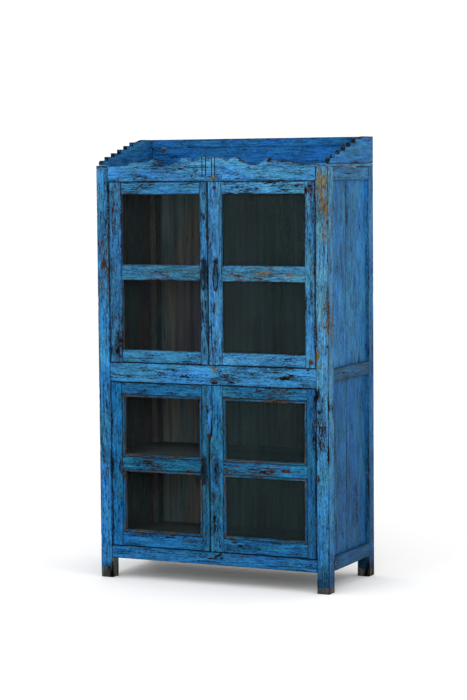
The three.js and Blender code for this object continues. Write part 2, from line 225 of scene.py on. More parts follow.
def rectangle(a, b):
    """The corners of a stick's section, whose sides are then low a, high b, high a and low b."""
    return [(a[0], b[0]), (a[0], b[1]), (a[1], b[1]), (a[1], b[0])]


def section_rows(corners, radius):
    """Points round a section. Each row holds a point, its outward direction, how far the nearest outward
    corner is, that corner's number, and the side's number with a half added on the rounding after it."""
    points = np.array(corners, float)
    count = len(points)
    along = np.roll(points, -1, axis=0) - points
    lengths = np.hypot(*along.T)
    along = along / lengths[:, None]
    outward = np.stack([-along[:, 1], along[:, 0]], axis=1)
    before = np.roll(along, 1, axis=0)
    juts = before[:, 0] * along[:, 1] - before[:, 1] * along[:, 0] < 0
    cut = np.where(juts, np.minimum(radius, 0.35 * np.minimum(lengths, np.roll(lengths, 1))), 0)
    rows = []
    for side in range(count):
        after = (side + 1) % count
        low, high = cut[side], lengths[side] - cut[after]
        places = np.linspace(low, high, max(1, round((high - low) / STEP)) + 1)
        if high - low > 3 * SUPPORT:
            places = np.union1d(places, [low + SUPPORT, high - SUPPORT])
        for t in places if juts[after] else places[:-1]:
            direction = outward[side] + (outward[side - 1] if t == 0 else 0)
            near = min((t if juts[side] else 1, side), (lengths[side] - t if juts[after] else 1, after))
            rows.append((*(points[side] + along[side] * t), *direction, *near, side))
        start = points[after] - along[side] * cut[after]
        end = points[after] + along[after] * cut[after]
        for share in (1 / 3, 2 / 3) if juts[after] else ():
            place = start * (1 - share) ** 2 + 2 * points[after] * share * (1 - share) + end * share ** 2
            direction = outward[side] * (1 - share) + outward[after] * share
            rows.append((*place, *(direction / np.hypot(*direction)), 0, after, side + 0.5))
    return np.array(rows)


def stations(length, radius, extra, step):
    plain = np.linspace(0, length, max(3, round(length / step)) + 1)
    plain = plain[(plain > 1.6 * radius) & (plain < length - 1.6 * radius)]
    ends = np.array([0, 0.12, 0.5, 1.0]) * radius
    found = np.unique(np.concatenate([ends, plain, length - ends, extra]).round(6))
    return found[(found >= 0) & (found <= length)]


def blend(first, second, share):
    """Colours between two others, a share for each point."""
    return np.asarray(first) + (np.asarray(second) - np.asarray(first)) * np.asarray(share)[:, None]


def worn_places(places, u, z, seed):
    """How worn some places leave each point, the colour that shows there, how much it does, and how much
    the paint is darkened, which round the pulls is painted shadow. A place is (u, z, half width, half
    height, strength, colour), in millimetres."""
    worn, share, grime_and_shade = np.zeros(len(u)), np.zeros(len(u)), np.zeros(len(u))
    shows = np.zeros((len(u), 3))
    for number, (cu, cz, ru, rz, strength, colour) in enumerate(places):
        ragged = noise(u / PLACE_RAGGED, z / PLACE_RAGGED, 0.5, seed + number)
        ragged = 0.3 * ragged + 0.2 * noise(u / PLACE_FRAYED, z / PLACE_FRAYED, 2.5, seed)
        reach = np.hypot((u / MM - cu) / ru, (z / MM - cz) / rz) + ragged
        # A darkening place: painted shadow round the pulls, and darker paint in the other places.
        if colour is GRIME_AND_SHADE:
            grime_and_shade = np.maximum(grime_and_shade, strength * smooth_step(1.3, 0.2, reach))
            continue
        worn = np.maximum(worn, strength * smooth_step(1.4, 0.2, reach))
        inside = smooth_step(1.9, 1.3, reach)
        shows = blend(shows, colour, inside)
        share = np.maximum(share, inside)
    return worn, shows, share, grime_and_shade


def inside_case(points):
    """Which points of the case face its inside, where nobody painted."""
    wide = np.abs(points[:, X]) < SIDE_X - INSIDE_FROM_SIDE
    deep = (points[:, Y] > FRONT + INSIDE_FROM_FRONT) & (points[:, Y] < BACK - INSIDE_FROM_BACK)
    tall = (points[:, Z] > INSIDE_HEIGHTS[0]) & (points[:, Z] < INSIDE_HEIGHTS[1])
    return (wide & deep & tall).astype(float)


INWARD_FOOT = 84 * MM


def foot_ends(height, seed):
    """The bare ends of a post: its lowest part, and its inward side up to the bottom rail."""
    def bare(points):
        ragged = 7 * MM * noise(points[:, X] / (20 * MM), points[:, Y] / (20 * MM), 0.5, seed)
        ragged = ragged + 4 * MM * noise(points[:, X] / (6 * MM), points[:, Y] / (6 * MM), 0.5, seed)
        inward = np.abs(points[:, X]) < INNER_X + 2 * MM
        edge = np.where(inward, INWARD_FOOT, height) + ragged
        return np.maximum(inside_case(points), smooth_step(3 * MM, -3 * MM, points[:, Z] - edge))
    return bare


def splinters(s, near, corner, seed):
    """How much of its nearest corner is chipped off at each point."""
    ragged = 0.55 * noise(s / (45 * MM), corner * 7.3, seed, seed)
    ragged = ragged + 0.45 * noise(s / (12 * MM), corner * 3.1, 0.7, seed)
    return smooth_step(0.3, 0.6, ragged) * np.clip(1 - near / CHIP_REACH, 0, 1) ** 1.5


def end_rounding(from_end, radius):
    gap = np.clip(radius - from_end, 0, radius)
    return 0.85 * (radius - np.sqrt(radius ** 2 - gap ** 2))


def hand_planed(s, a, b, seed):
    """The gentle humps of a surface planed by hand."""
    bulge = noise(s / (160 * MM), a / (70 * MM) + seed, b / (70 * MM), seed + 1)
    return bulge + 0.6 * noise(s / (40 * MM), a / (13 * MM), b / (13 * MM), seed + 2)


def groove_depths(grooves, s, b, side):
    cut = np.zeros(len(s))
    for s0, half, depth, lowest in grooves:
        tapered = smooth_step(lowest, lowest + 4 * MM, b) * (side == 0)
        cut = cut + depth * np.clip(1 - np.abs(s - s0) / half, 0, 1) * tapered
    return cut


def paint_colours(shade, s, a, b, z, seed):
    """The paint's colour, from the shade at the floor to the one at the top: darker below, partly as
    painted shade of light from above and partly in the paint's own tone.
    """
    low_shade, high_shade = (srgb(*c) for c in np.reshape(shade, (-1, 3))[[0, -1]])
    colours = blend(low_shade, high_shade, smooth_step(0, OVERALL_HEIGHT, z))
    return colours * (1 + 0.2 * noise(s / 0.35, b / 0.12, a / 0.12, seed + 3))[:, None]


def stick(name, axes, s_range, corners, seed, *, body="cabinet", slot="case_paint", material="case",
          nodes=(), shade=(50, 110, 154), radius=2 * MM, step=STEP, chips=1.0, wear=0.0, edges=0.5,
          rim=DARK, top=None, top_wear=0.0, extra=(), grooves=(), places=(), plane=X, mitre=0.0,
          narrowing=None, bare=inside_case):
    """A length of wood with worn edges. Its grain runs along s, and its section's corners are (a, b).
    axes names the world axes of s, a and b. top gives the height of its upper edge at each s, and a
    groove in its front is (s, half width, depth, lowest b)."""
    order = ["xyz".index(c) for c in axes]
    start, length = s_range[0], s_range[1] - s_range[0]
    cuts = [s0 - start + k * half for s0, half, _, _ in grooves for k in (-1, -0.5, 0, 0.5, 1)]
    at = stations(length, radius, np.array([*(np.asarray(extra) - start), *cuts]), step)
    rows = section_rows(corners, radius)
    a, b, na, nb, near, corner, side = np.tile(rows, (len(at), 1)).T
    s = np.repeat(at, len(rows)) + start
    b_low, b_high = min(c[1] for c in corners), max(c[1] for c in corners)
    if top is not None:
        share = np.clip((b - b_low - radius) / (b_high - b_low - 2 * radius), 0, 1)
        b = b + (top(s) - b_high) * share
    if narrowing is not None:
        centre = (b_low + b_high) / 2
        b = centre + (b - centre) * narrowing(s) / (b_high - centre)

    def in_world(s_values, a_values, b_values):
        values = (s_values, a_values, b_values)
        return np.stack([values[order.index(axis)] for axis in (X, Y, Z)], axis=1)

    place = in_world(s, a, b)
    worn, shows, share, grime_and_shade = worn_places(places, place[:, plane], place[:, Z], seed)
    from_end = np.minimum(s - start, s_range[1] - s)
    chip = chips * splinters(s, near, corner, seed)
    cut = groove_depths(grooves, s, b, side)
    wavy = SWELL * (0.8 + 0.5 * hand_planed(s, a, b, seed))
    sink = SKIN + end_rounding(from_end, radius) + cut + MM * (1.5 * chip + 0.4 * worn + wavy)
    stretch = 1 + mitre * (b - b_low) / (length / 2)
    middle = start + length / 2
    points = in_world(middle + (s - middle) * stretch, a - na * sink, b - nb * sink)
    skin = loft(points.reshape(len(at), len(rows), 3))

    edge = np.exp(-near / EDGE_REACH) + 0.5 * np.exp(-(from_end + MM) / EDGE_REACH)
    upper = (np.abs(side - 1) < 0.6) * top_wear
    dark = smooth_step(-0.3, 0.3, noise(s / (60 * MM), b / (30 * MM), a, seed + 8))
    under = blend(blend(BLACK, DARK, dark), rim, np.clip(edge + upper, 0, 1))
    under = blend(under, shows, share)
    paint = paint_colours(shade, s, a, b, place[:, Z], seed)
    alpha = np.ones((len(s), 1))
    worn_off = wear + edges * edge + 0.8 * chip + PLACE_WEAR * worn + upper + cut / MM
    # The darkening attribute holds grimy edges and the darkening places, among them painted shadow round
    # the pulls.
    attributes = {
        "grain": np.stack([s, b, a], axis=1) + seed * np.array([1.37, 0.61, 0.29]),
        "wear": np.clip(worn_off, 0, 2),
        "bare": bare(place),
        "dirt_and_shade": np.clip(grime_and_shade + EDGE_DIRT * np.exp(-near / DIRT_REACH), 0, 1),
        "paint": np.concatenate([paint, alpha], axis=1),
        "under": np.concatenate([under, alpha], axis=1),
    }
    finish_piece(add_mesh(name, skin, attributes), body, slot, material, nodes)


# Metal pieces.


def tube_loops(path, radii, sides, closed):
    """Round sections along a path of points that lies in one plane."""
    if closed:
        ahead = np.roll(path, -1, axis=0) - np.roll(path, 1, axis=0)
    else:
        ahead = np.gradient(path, axis=0)
    ahead = ahead / np.linalg.norm(ahead, axis=1)[:, None]
    helper = np.array([0, 1, 0]) if abs(ahead[:, Y]).max() < 0.9 else np.array([0, 0, 1])
    first = np.cross(ahead, helper)
    first = first / np.linalg.norm(first, axis=1)[:, None]
    second = np.cross(ahead, first)
    angles = np.linspace(0, 2 * math.pi, sides, endpoint=False)[None, :, None]
    ring = first[:, None] * np.cos(angles) + second[:, None] * np.sin(angles)
    return path[:, None] + ring * np.broadcast_to(radii, len(path))[:, None, None]


def rounded_rod(start, end, radius, sides, ease=0.6 * MM):
    """A round rod with eased ends."""
    start, end = np.array(start, float), np.array(end, float)
    length = np.linalg.norm(end - start)
    along = np.array([0, 0.3 * ease, ease, length / 2, length - ease, length - 0.3 * ease, length])
    radii = radius - np.array([ease, 0.3 * ease, 0, 0, 0, 0.3 * ease, ease])
    path = start + (end - start) * (along / length)[:, None]
    return loft(tube_loops(path, radii, sides, False))


DOME_RINGS = 4


def plate(outline, low, high, place, ease=0.8 * MM, dome=0.0):
    """A flat piece that faces the front: an outline of (x, z) round the origin, between two y, with its
    front edge eased and its middle raised."""
    outline = np.asarray(outline, float)
    size = np.abs(outline).max()
    small = 1 - ease / size
    levels = [(1, high), (1, low + ease), (1 - 0.3 * ease / size, low + 0.3 * ease), (small, low)]
    shares = [1 - k / DOME_RINGS for k in range(1, DOME_RINGS)]
    levels += [(small * share, low - dome * (1 - share ** 2)) for share in shares]
    loops = [[(place[0] + x * k, y, place[1] + z * k) for x, z in outline] for k, y in levels]
    return loft(loops)


def ellipse(radius_x, radius_z, sides=36):
    angles = np.linspace(0, 2 * math.pi, sides, endpoint=False)
    return np.stack([radius_x * np.cos(angles), radius_z * np.sin(angles)], axis=1)


def dented(skin, depth, size, seed):
    """The same skin with the unevenness of hand work."""
    points, quads, caps = skin
    uneven = [noise(*(points.T / size), seed + k) for k in range(3)]
    return points + depth * np.stack(uneven, axis=1), quads, caps


# Materials.


def new_material(name):
    material = bpy.data.materials.new(name)
    material.use_nodes = True
    material.node_tree.nodes.clear()
    return material, material.node_tree


def add_node(tree, kind, inputs=(), **settings):
    node = tree.nodes.new(kind)
    for key, value in settings.items():
        setattr(node, key, value)
    for key, value in dict(inputs).items():
        if isinstance(value, bpy.types.NodeSocket):
            tree.links.new(value, node.inputs[key])
        else:
            node.inputs[key].default_value = value
    return node


def maths(tree, operation, first, second=0.0):
    return add_node(tree, "ShaderNodeMath", {0: first, 1: second}, operation=operation).outputs[0]


def weighted(tree, constant, *terms):
    """A constant plus each value times its weight."""
    total = constant
    for value, weight in terms:
        node = add_node(tree, "ShaderNodeMath", {0: value, 1: weight, 2: total}, operation="MULTIPLY_ADD")
        total = node.outputs[0]
    return total


def mixed(tree, share, first, second, blend_type="MIX"):
    first, second = ((*c, 1) if isinstance(c, tuple) and len(c) == 3 else c for c in (first, second))
    inputs = {0: share, 6: first, 7: second}
    return add_node(tree, "ShaderNodeMix", inputs, data_type="RGBA", blend_type=blend_type).outputs[2]


def ranged(tree, value, low, high, to_low=0.0, to_high=1.0):
    inputs = {"Value": value, "From Min": low, "From Max": high, "To Min": to_low, "To Max": to_high}
    return add_node(tree, "ShaderNodeMapRange", inputs).outputs["Result"]


def attribute(tree, name, output="Fac"):
    return add_node(tree, "ShaderNodeAttribute", attribute_name=name).outputs[output]


def ramp(tree, value, stops):
    node = add_node(tree, "ShaderNodeValToRGB", {"Fac": value})
    while len(node.color_ramp.elements) < len(stops):
        node.color_ramp.elements.new(0.5)
    for element, (place, colour) in zip(node.color_ramp.elements, stops):
        element.position = place
        element.color = (*colour, 1)
    return node.outputs["Color"]


def texture(tree, vector, scale, detail=2.0, roughness=0.55):
    inputs = {"Vector": vector, "Scale": scale, "Detail": detail, "Roughness": roughness}
    return add_node(tree, "ShaderNodeTexNoise", inputs).outputs[0]


def grain_noise(tree, along, across, detail=2.0, roughness=0.55):
    """Noise stretched along the grain, with so many humps to the metre along it and across it."""
    inputs = {0: attribute(tree, "grain", "Vector"), 1: (along, across, across)}
    stretched = add_node(tree, "ShaderNodeVectorMath", inputs, operation="MULTIPLY").outputs[0]
    return texture(tree, stretched, 1.0, detail, roughness)


def finish_material(tree, shader):
    tree.links.new(shader, add_node(tree, "ShaderNodeOutputMaterial").inputs["Surface"])


def surface(tree, colour, roughness, height, relief, metallic=0.0, shine=0.05):
    bump = add_node(tree, "ShaderNodeBump", {"Strength": 1.0, "Distance": relief, "Height": height})
    inputs = {"Base Color": colour, "Roughness": roughness, "Normal": bump.outputs[0],
              "Metallic": metallic, "Specular IOR Level": shine}
    shader = add_node(tree, "ShaderNodeBsdfPrincipled", inputs)
    finish_material(tree, shader.outputs[0])


def times(tree, colour, factor):
    return mixed(tree, 1.0, colour, factor, "MULTIPLY")


def toned(tree, share, colour, base, factor):
    """A colour with a lighter or darker tone of the base over a share of it."""
    return mixed(tree, share, colour, times(tree, base, factor))


def hairlines(tree, along, across, thick, where, low, high):
    """Fine cracks along the grain, where another value is high."""
    line = maths(tree, "ABSOLUTE", maths(tree, "SUBTRACT", grain_noise(tree, along, across), 0.5))
    line = ranged(tree, line, 0.004, thick, 1.0, 0.0)
    return maths(tree, "MULTIPLY", line, ranged(tree, where, low, high))


def brushed(tree, base, cloud, blotch, streak, fine, streaky):
    """The paint's colour with its light and dark streaks, its cool and warm parts and its scuffs."""
    weights = ((cloud, 0.9), (blotch, 1.7 * streaky), (streak, 3.2 * streaky), (fine, 3.4 * streaky))
    light = weighted(tree, 1 - 0.5 * sum(w for _, w in weights), *weights)
    colour = times(tree, base, light)
    hue = ranged(tree, grain_noise(tree, 6, 16), 0.36, 0.64)
    colour = times(tree, colour, mixed(tree, hue, (0.82, 0.94, 1.08), (1.14, 1.04, 0.86)))
    scuff = weighted(tree, 0.0, (grain_noise(tree, 26, 170, 2), 0.6), (blotch, 0.4))
    scuffed = ranged(tree, scuff, 0.56, 0.66, 0.0, 0.45 * streaky)
    return toned(tree, scuffed, colour, base, (1.7, 1.6, 1.5))


def flaking(tree, wear, cluster, chipping):
    """How far each point is past losing its flake of paint, and where the paint is gone."""
    flakes = weighted(tree, -0.385, (grain_noise(tree, 26, 150, 4, 0.7), 0.5), (cluster, 0.67),
                      (grain_noise(tree, 95, 330, 4, 0.7), 0.6))
    over = weighted(tree, chipping - 0.645, (flakes, 1.0), (wear, 0.26))
    gone = ranged(tree, over, 0.0, 0.02)
    return over, maths(tree, "MAXIMUM", gone, hairlines(tree, 3.2, 65, 0.011, cluster, 0.5, 0.58))


def under_wood(tree, under):
    """The wood that shows where the paint is gone, and its year rings."""
    rings = grain_noise(tree, 9, 420)
    wood = times(tree, under, ramp(tree, rings, [(0.3, (0.5,) * 3), (0.7, (1.0,) * 3)]))
    mottle = ranged(tree, grain_noise(tree, 42, 150, 3, 0.7), 0.4, 0.6, 0.22, 1.35)
    return times(tree, wood, mottle), rings


def stains(tree):
    """What the years did to unpainted wood, as a tint: bands of purple, brown, green and olive."""
    value = ranged(tree, grain_noise(tree, 1.0, 4.5, 2), 0.3, 0.7)
    purple, brown = (0.95, 0.85, 1.12), (1.15, 0.97, 0.86)
    green, olive = (0.8, 1.02, 1.02), (1.08, 1.0, 0.84)
    return ramp(tree, value, [(0.0, purple), (0.35, brown), (0.6, green), (1.0, olive)])


def raw_wood(tree, streak, fine):
    """Wood that was never painted, as on the backs of the doors."""
    value = ranged(tree, weighted(tree, 0.0, (streak, 1.0), (fine, 1.0)), 0.5, 1.5)
    tones = [(0.0, srgb(64, 62, 66)), (0.6, srgb(108, 106, 108)), (1.0, srgb(140, 137, 132))]
    raw = ramp(tree, value, tones)
    return times(tree, raw, stains(tree))


def paint(name, chipping=0.0, streaky=1.0):
    """Old paint over wood: uneven along the grain, flaked off where it is worn, with hairline cracks."""
    material, tree = new_material(name)
    wear, bare = attribute(tree, "wear"), attribute(tree, "bare")
    base, under = attribute(tree, "paint", "Color"), attribute(tree, "under", "Color")
    cloud = grain_noise(tree, 2.6, 4.5)
    blotch = grain_noise(tree, 10, 36, 3, 0.6)
    streak = grain_noise(tree, 12, 125, 3, 0.6)
    fine = grain_noise(tree, 70, 330, 2, 0.6)
    colour = brushed(tree, base, cloud, blotch, streak, fine, streaky)

    cluster = grain_noise(tree, 5, 15)
    dash = ranged(tree, grain_noise(tree, 15, 190, 4, 0.7), 0.6, 0.67, 0.0, 0.62 * streaky)
    dash = maths(tree, "MULTIPLY", dash, ranged(tree, cluster, 0.42, 0.56, 0.3, 1.0))
    colour = toned(tree, dash, colour, base, (0.26, 0.32, 0.32))
    over, gone = flaking(tree, wear, cluster, chipping)
    shadow = ranged(tree, over, -0.09, 0.0, 0.0, 0.6)
    colour = toned(tree, shadow, colour, base, (0.4, 0.45, 0.42))
    specks = ranged(tree, grain_noise(tree, 170, 300, 2), 0.6, 0.66, 0.0, 0.4 * streaky)
    colour = toned(tree, specks, colour, base, (2.3, 1.9, 1.6))
    wood, rings = under_wood(tree, under)
    colour = mixed(tree, gone, colour, wood)

    raw = raw_wood(tree, streak, fine)
    ragged = weighted(tree, -0.3, (bare, 1.0), (blotch, 0.6))
    unpainted = ranged(tree, ragged, 0.42, 0.52)
    colour = mixed(tree, unpainted, colour, raw)
    no_paint = maths(tree, "MAXIMUM", gone, unpainted)
    # Darkens the paint at grimy edges and at the darkening places, which round the pulls are painted
    # shadow.
    dirt_and_shade = attribute(tree, "dirt_and_shade")
    patchy = ranged(tree, blotch, 0.3, 0.7, 0.55, 1.35)
    undarkened = add_node(tree, "ShaderNodeMath", {0: 1.0, 1: maths(tree, "MULTIPLY", dirt_and_shade, patchy)},
                     operation="SUBTRACT", use_clamp=True).outputs[0]
    colour = times(tree, colour, undarkened)
    rough = weighted(tree, 0.46, (no_paint, 0.3), (fine, 0.2))
    worked = maths(tree, "MULTIPLY", rings, no_paint)
    height = weighted(tree, 0.0, (streak, 0.8), (fine, 0.5), (gone, -0.6), (worked, 0.5))
    surface(tree, colour, rough, height, 0.8 * MM)
    return material


def bare_wood(name, dark, light):
    """Sawn boards with dark joints, stained where they face the inside."""
    material, tree = new_material(name)
    streaks = grain_noise(tree, 1.6, 55, 4, 0.6)
    fine = grain_noise(tree, 7, 420, 3, 0.7)
    stain = grain_noise(tree, 1.6, 5)
    value = weighted(tree, -0.25, (streaks, 0.6), (fine, 0.4), (stain, 0.5))
    colour = ramp(tree, ranged(tree, value, 0.3, 0.7), [(0.0, dark), (1.0, light)])
    crack = hairlines(tree, 1.4, 60, 0.012, stain, 0.5, 0.55)
    dark_parts = maths(tree, "MAXIMUM", crack, attribute(tree, "dirt_and_shade"))
    colour = times(tree, colour, ranged(tree, dark_parts, 0.0, 1.0, 1.0, 0.3))
    tint = mixed(tree, attribute(tree, "bare"), (0.95, 0.78, 0.6), stains(tree))
    colour = times(tree, colour, tint)
    surface(tree, colour, ranged(tree, fine, 0.3, 0.7, 0.6, 0.85), value, 0.7 * MM)
    return material


def metal(name, dark, light, rust, paint_left, painted_from, metallic, shine):
    """Old metal with rust in patches, bright spots of painted highlight, and what is left of the paint
    that ran over it.
    """
    material, tree = new_material(name)
    place = add_node(tree, "ShaderNodeTexCoord").outputs["Object"]
    broad, narrow = texture(tree, place, 110, 3), texture(tree, place, 620, 3)
    colour = ramp(tree, ranged(tree, narrow, 0.32, 0.68), [(0.0, dark), (1.0, light)])
    colour = mixed(tree, ranged(tree, broad, 0.56, 0.64), colour, rust)
    # Bright spots: painted highlights standing in for glints of light, drawn as polished metal.
    worn = ranged(tree, texture(tree, place, 190, 3), 0.64, 0.68)
    colour = mixed(tree, worn, colour, tuple(4 * c + 0.06 for c in light))
    left = weighted(tree, 0.0, (texture(tree, place, 170, 4), 1.0), (attribute(tree, "cover"), 0.14))
    painted = ranged(tree, left, painted_from, painted_from + 0.03)
    thin, thick = (tuple(share * c for c in paint_left) for share in (0.6, 1.3))
    colour = mixed(tree, painted, colour, ramp(tree, narrow, [(0.3, thin), (0.7, thick)]))
    rough = weighted(tree, 0.2, (narrow, 0.3), (painted, 0.2))
    height = weighted(tree, 0.0, (narrow, 1.0), (broad, 0.8))
    surface(tree, colour, rough, height, 0.25 * MM, metallic, shine)
    return material


def old_glass(name):
    """Thin clear glass, faintly uneven in tint, with grains of dust that lie thicker in smears. It mirrors
    only what meets it at a slant. A hazy pane is dimmed and thick with grains: painted reflection of the
    bright surroundings."""
    material, tree = new_material(name)
    smears = weighted(tree, 0.0, (grain_noise(tree, 3, 9, 3), 0.6), (grain_noise(tree, 2, 28, 3), 0.4))
    tint = mixed(tree, ranged(tree, smears, 0.35, 0.65), (0.91, 0.95, 0.96), (0.84, 0.89, 0.9))
    # The wear attribute holds each pane's haze, which dims what shows through it: painted reflection.
    tint = mixed(tree, attribute(tree, "wear"), tint, (0.3, 0.37, 0.4))
    clear = add_node(tree, "ShaderNodeBsdfTransparent", {"Color": tint}).outputs[0]
    mirror = add_node(tree, "ShaderNodeBsdfGlossy", {"Color": (1, 1, 1, 1), "Roughness": 0.05}).outputs[0]
    fresnel = add_node(tree, "ShaderNodeFresnel", {"IOR": 1.45}).outputs[0]
    slant = ranged(tree, fresnel, 0.06, 1.0)
    pane = add_node(tree, "ShaderNodeMixShader", {0: slant, 1: clear, 2: mirror}).outputs[0]
    dust = add_node(tree, "ShaderNodeBsdfDiffuse", {"Color": (*srgb(58, 74, 76), 1)}).outputs[0]
    # The haze also thickens the grains into a grey veil: painted reflection of the bright surroundings.
    film = weighted(tree, -0.74, (grain_noise(tree, 800, 1100, 2, 0.6), 1.0), (smears, 0.1),
                    (attribute(tree, "wear"), 0.2))
    grains = ranged(tree, film, 0.0, 0.012)
    finish_material(tree, add_node(tree, "ShaderNodeMixShader", {0: grains, 1: pane, 2: dust}).outputs[0])
    return material


MATERIALS = {
    "case": paint("case_paint", chipping=-0.018),
    "door": paint("door_paint", chipping=-0.012),
    "side": paint("side_paint", chipping=-0.03, streaky=0.75),
    "bare": bare_wood("bare_wood", srgb(72, 72, 76), srgb(150, 148, 146)),
    "iron": metal("iron", dark=srgb(6, 6, 8), light=srgb(18, 17, 19), rust=srgb(28, 20, 18),
                  paint_left=srgb(26, 70, 108), painted_from=0.62, metallic=0.0, shine=0.1),
    "blue_iron": metal("painted_iron", dark=srgb(9, 9, 12), light=srgb(24, 24, 28), rust=srgb(32, 24, 22),
                       paint_left=srgb(26, 74, 116), painted_from=0.47, metallic=0.0, shine=0.1),
    "tan": metal("tan_metal", dark=srgb(48, 41, 30), light=srgb(126, 108, 78), rust=srgb(66, 52, 36),
                 paint_left=srgb(44, 80, 102), painted_from=0.64, metallic=0.3, shine=0.3),
    "glass": old_glass("glass"),
}

# Places of the main parts, from the frame.
POSTS = {f"{end}_{side}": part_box(f"{end}_{side}_post")
         for end in ("front", "rear") for side in ("left", "right")}
FRONT = POSTS["front_left"][0].y
BACK = POSTS["rear_left"][1].y
MIDDLE = (FRONT + BACK) / 2
INNER_X = POSTS["front_right"][0].x
SIDE_X = POSTS["front_right"][1].x
BEHIND_FRONT = POSTS["front_left"][1].y
BEFORE_BACK = POSTS["rear_left"][0].y
OVERLAP = 0.6 * MM

UNPAINTED = {"slot": "bare_wood", "material": "bare"}
BOARD_RADIUS = 1.4 * MM


def span(node, axis):
    low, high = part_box(node)
    return low[axis], high[axis]


def widened(low, high, more=OVERLAP):
    return low - more, high + more


# The posts, with the height of each one's bare foot in millimetres. They reach into the top board.
POST_TOP = 1.5 * MM
# Where a post has two shades, they run from its foot to its top: the darker foot is partly painted shade
# of light from above.
POST_LOOKS = {
    "front_left": {"shade": ((32, 95, 147), (46, 109, 151)), "foot": 44, "wear": 0.02},
    "front_right": {"shade": ((34, 92, 134), (66, 114, 144)), "foot": 28, "wear": 0.1},
    "rear_left": {"shade": (38, 94, 140), "foot": 30, "wear": 0.0},
    "rear_right": {"shade": ((24, 74, 116), (38, 94, 140)), "foot": 34, "wear": 0.0},
}
# The last place of each post darkens its foot towards the floor.
POST_PLACES = {
    "front_left": [
        (-486, 1280, 26, 160, 0.2, BROWN), (-486, 1284, 15, 16, 0.55, BROWN),
        (-488, 1204, 10, 18, 0.6, OCHRE), (-474, 1176, 18, 4, 0.75, OCHRE),
        (-482, 952, 5, 12, 0.7, OCHRE), (-492, 1235, 5, 18, 0.6, BROWN),
        (-490, 1560, 5, 30, 0.35, OCHRE), (-470, 1440, 5, 50, 0.3, DARK), (-500, 690, 6, 60, 0.3, DARK),
        (-484, 15, 60, 70, 0.88, GRIME_AND_SHADE),
    ],
    "front_right": [
        (499, 1440, 15, 220, 0.34, OCHRE), (478, 1560, 16, 80, 0.38, OCHRE),
        (498, 1130, 15, 150, 0.3, BROWN), (471, 1590, 6, 24, 0.65, OCHRE),
        (474, 1545, 9, 26, 0.45, OCHRE), (480, 980, 24, 90, 0.3, OCHRE), (486, 600, 24, 220, 0.3, DARK),
        (476, 1512, 6, 12, 0.7, ORANGE), (506, 1464, 4, 10, 0.8, ORANGE), (478, 1433, 5, 14, 0.6, BROWN),
        (496, 1402, 7, 16, 0.7, OCHRE), (507, 1322, 4, 26, 0.8, DARK), (494, 1300, 6, 14, 0.7, TAN),
        (506, 1145, 5, 16, 0.8, ORANGE), (486, 975, 9, 14, 0.7, OCHRE), (505, 975, 6, 24, 0.7, BROWN),
        (465, 935, 8, 24, 0.85, OCHRE), (476, 900, 12, 16, 0.8, OCHRE), (496, 893, 10, 8, 0.8, OCHRE),
        (496, 1054, 4, 6, 1.0, BLACK), (498, 951, 4, 7, 1.0, BLACK), (471, 720, 5, 8, 1.0, BLACK),
        (484, 760, 4, 26, 0.55, DARK), (488, 660, 4, 34, 0.55, DARK), (509, 740, 4, 70, 0.75, BLACK),
        (508, 560, 4, 60, 0.7, BLACK), (505, 170, 5, 60, 0.7, MAROON), (465, 790, 6, 24, 0.8, BLACK),
        (466, 458, 6, 24, 0.8, RUSSET), (485, 457, 5, 7, 1.0, BLACK), (472, 330, 5, 40, 0.4, DARK),
        (484, 15, 60, 110, 0.78, GRIME_AND_SHADE),
    ],
    "rear_left": [(-484, 20, 60, 100, 0.8, GRIME_AND_SHADE)],
    "rear_right": [(484, 20, 60, 100, 0.85, GRIME_AND_SHADE)],
}


def add_posts():
    for number, (name, (low, high)) in enumerate(POSTS.items()):
        looks = POST_LOOKS[name]
        corners = rectangle((low.y, high.y), (low.x, high.x))
        node = f"{name}_post"
        stick(node, "zyx", (low.z, high.z + POST_TOP), corners, 11 + number, nodes=[node], radius=3 * MM,
              shade=looks["shade"], wear=looks["wear"], edges=0.55, places=POST_PLACES[name],
              bare=foot_ends(looks["foot"] * MM, number))


SPLINE_PARTS = 16


def spline(points):
    """Points along a smooth curve that passes through each of the given ones."""
    ends = [points[0], *points, points[-1]]
    found = []
    for four in zip(ends, ends[1:], ends[2:], ends[3:]):
        p0, p1, p2, p3 = (np.array(p, float) for p in four)
        for t in np.arange(SPLINE_PARTS) / SPLINE_PARTS:
            bend = (2 * p0 - 5 * p1 + 4 * p2 - p3) * t ** 2 + (3 * p1 - p0 - 3 * p2 + p3) * t ** 3
            found.append(0.5 * (2 * p1 + (p2 - p0) * t + bend))
    return np.array([*found, points[-1]])


# The crest from the notch in its middle to the post: lobes that meet in cusps, in millimetres.
CREST_LOBES = [
    [(0, 1713), (16, 1721), (34, 1723), (57, 1715), (76, 1702)],
    [(76, 1702), (95, 1716), (118, 1720), (140, 1706), (181, 1689), (212, 1690), (231, 1702), (260, 1716)],
    [(260, 1716), (270, 1707), (299, 1704), (340, 1703), (358, 1701)],
    [(358, 1701), (371, 1692), (399, 1689), (457, 1687)],
]
CREST = np.concatenate([spline(lobe) for lobe in CREST_LOBES]) * MM
CREST_CUSPS = [x * MM for x in (-358, -260, -76, 0, 76, 260, 358)]
CREST_GROOVES = [(x * MM, 2.6 * MM, 2.6 * MM, 1648 * MM) for x in (-31, -15, 11, 25)]
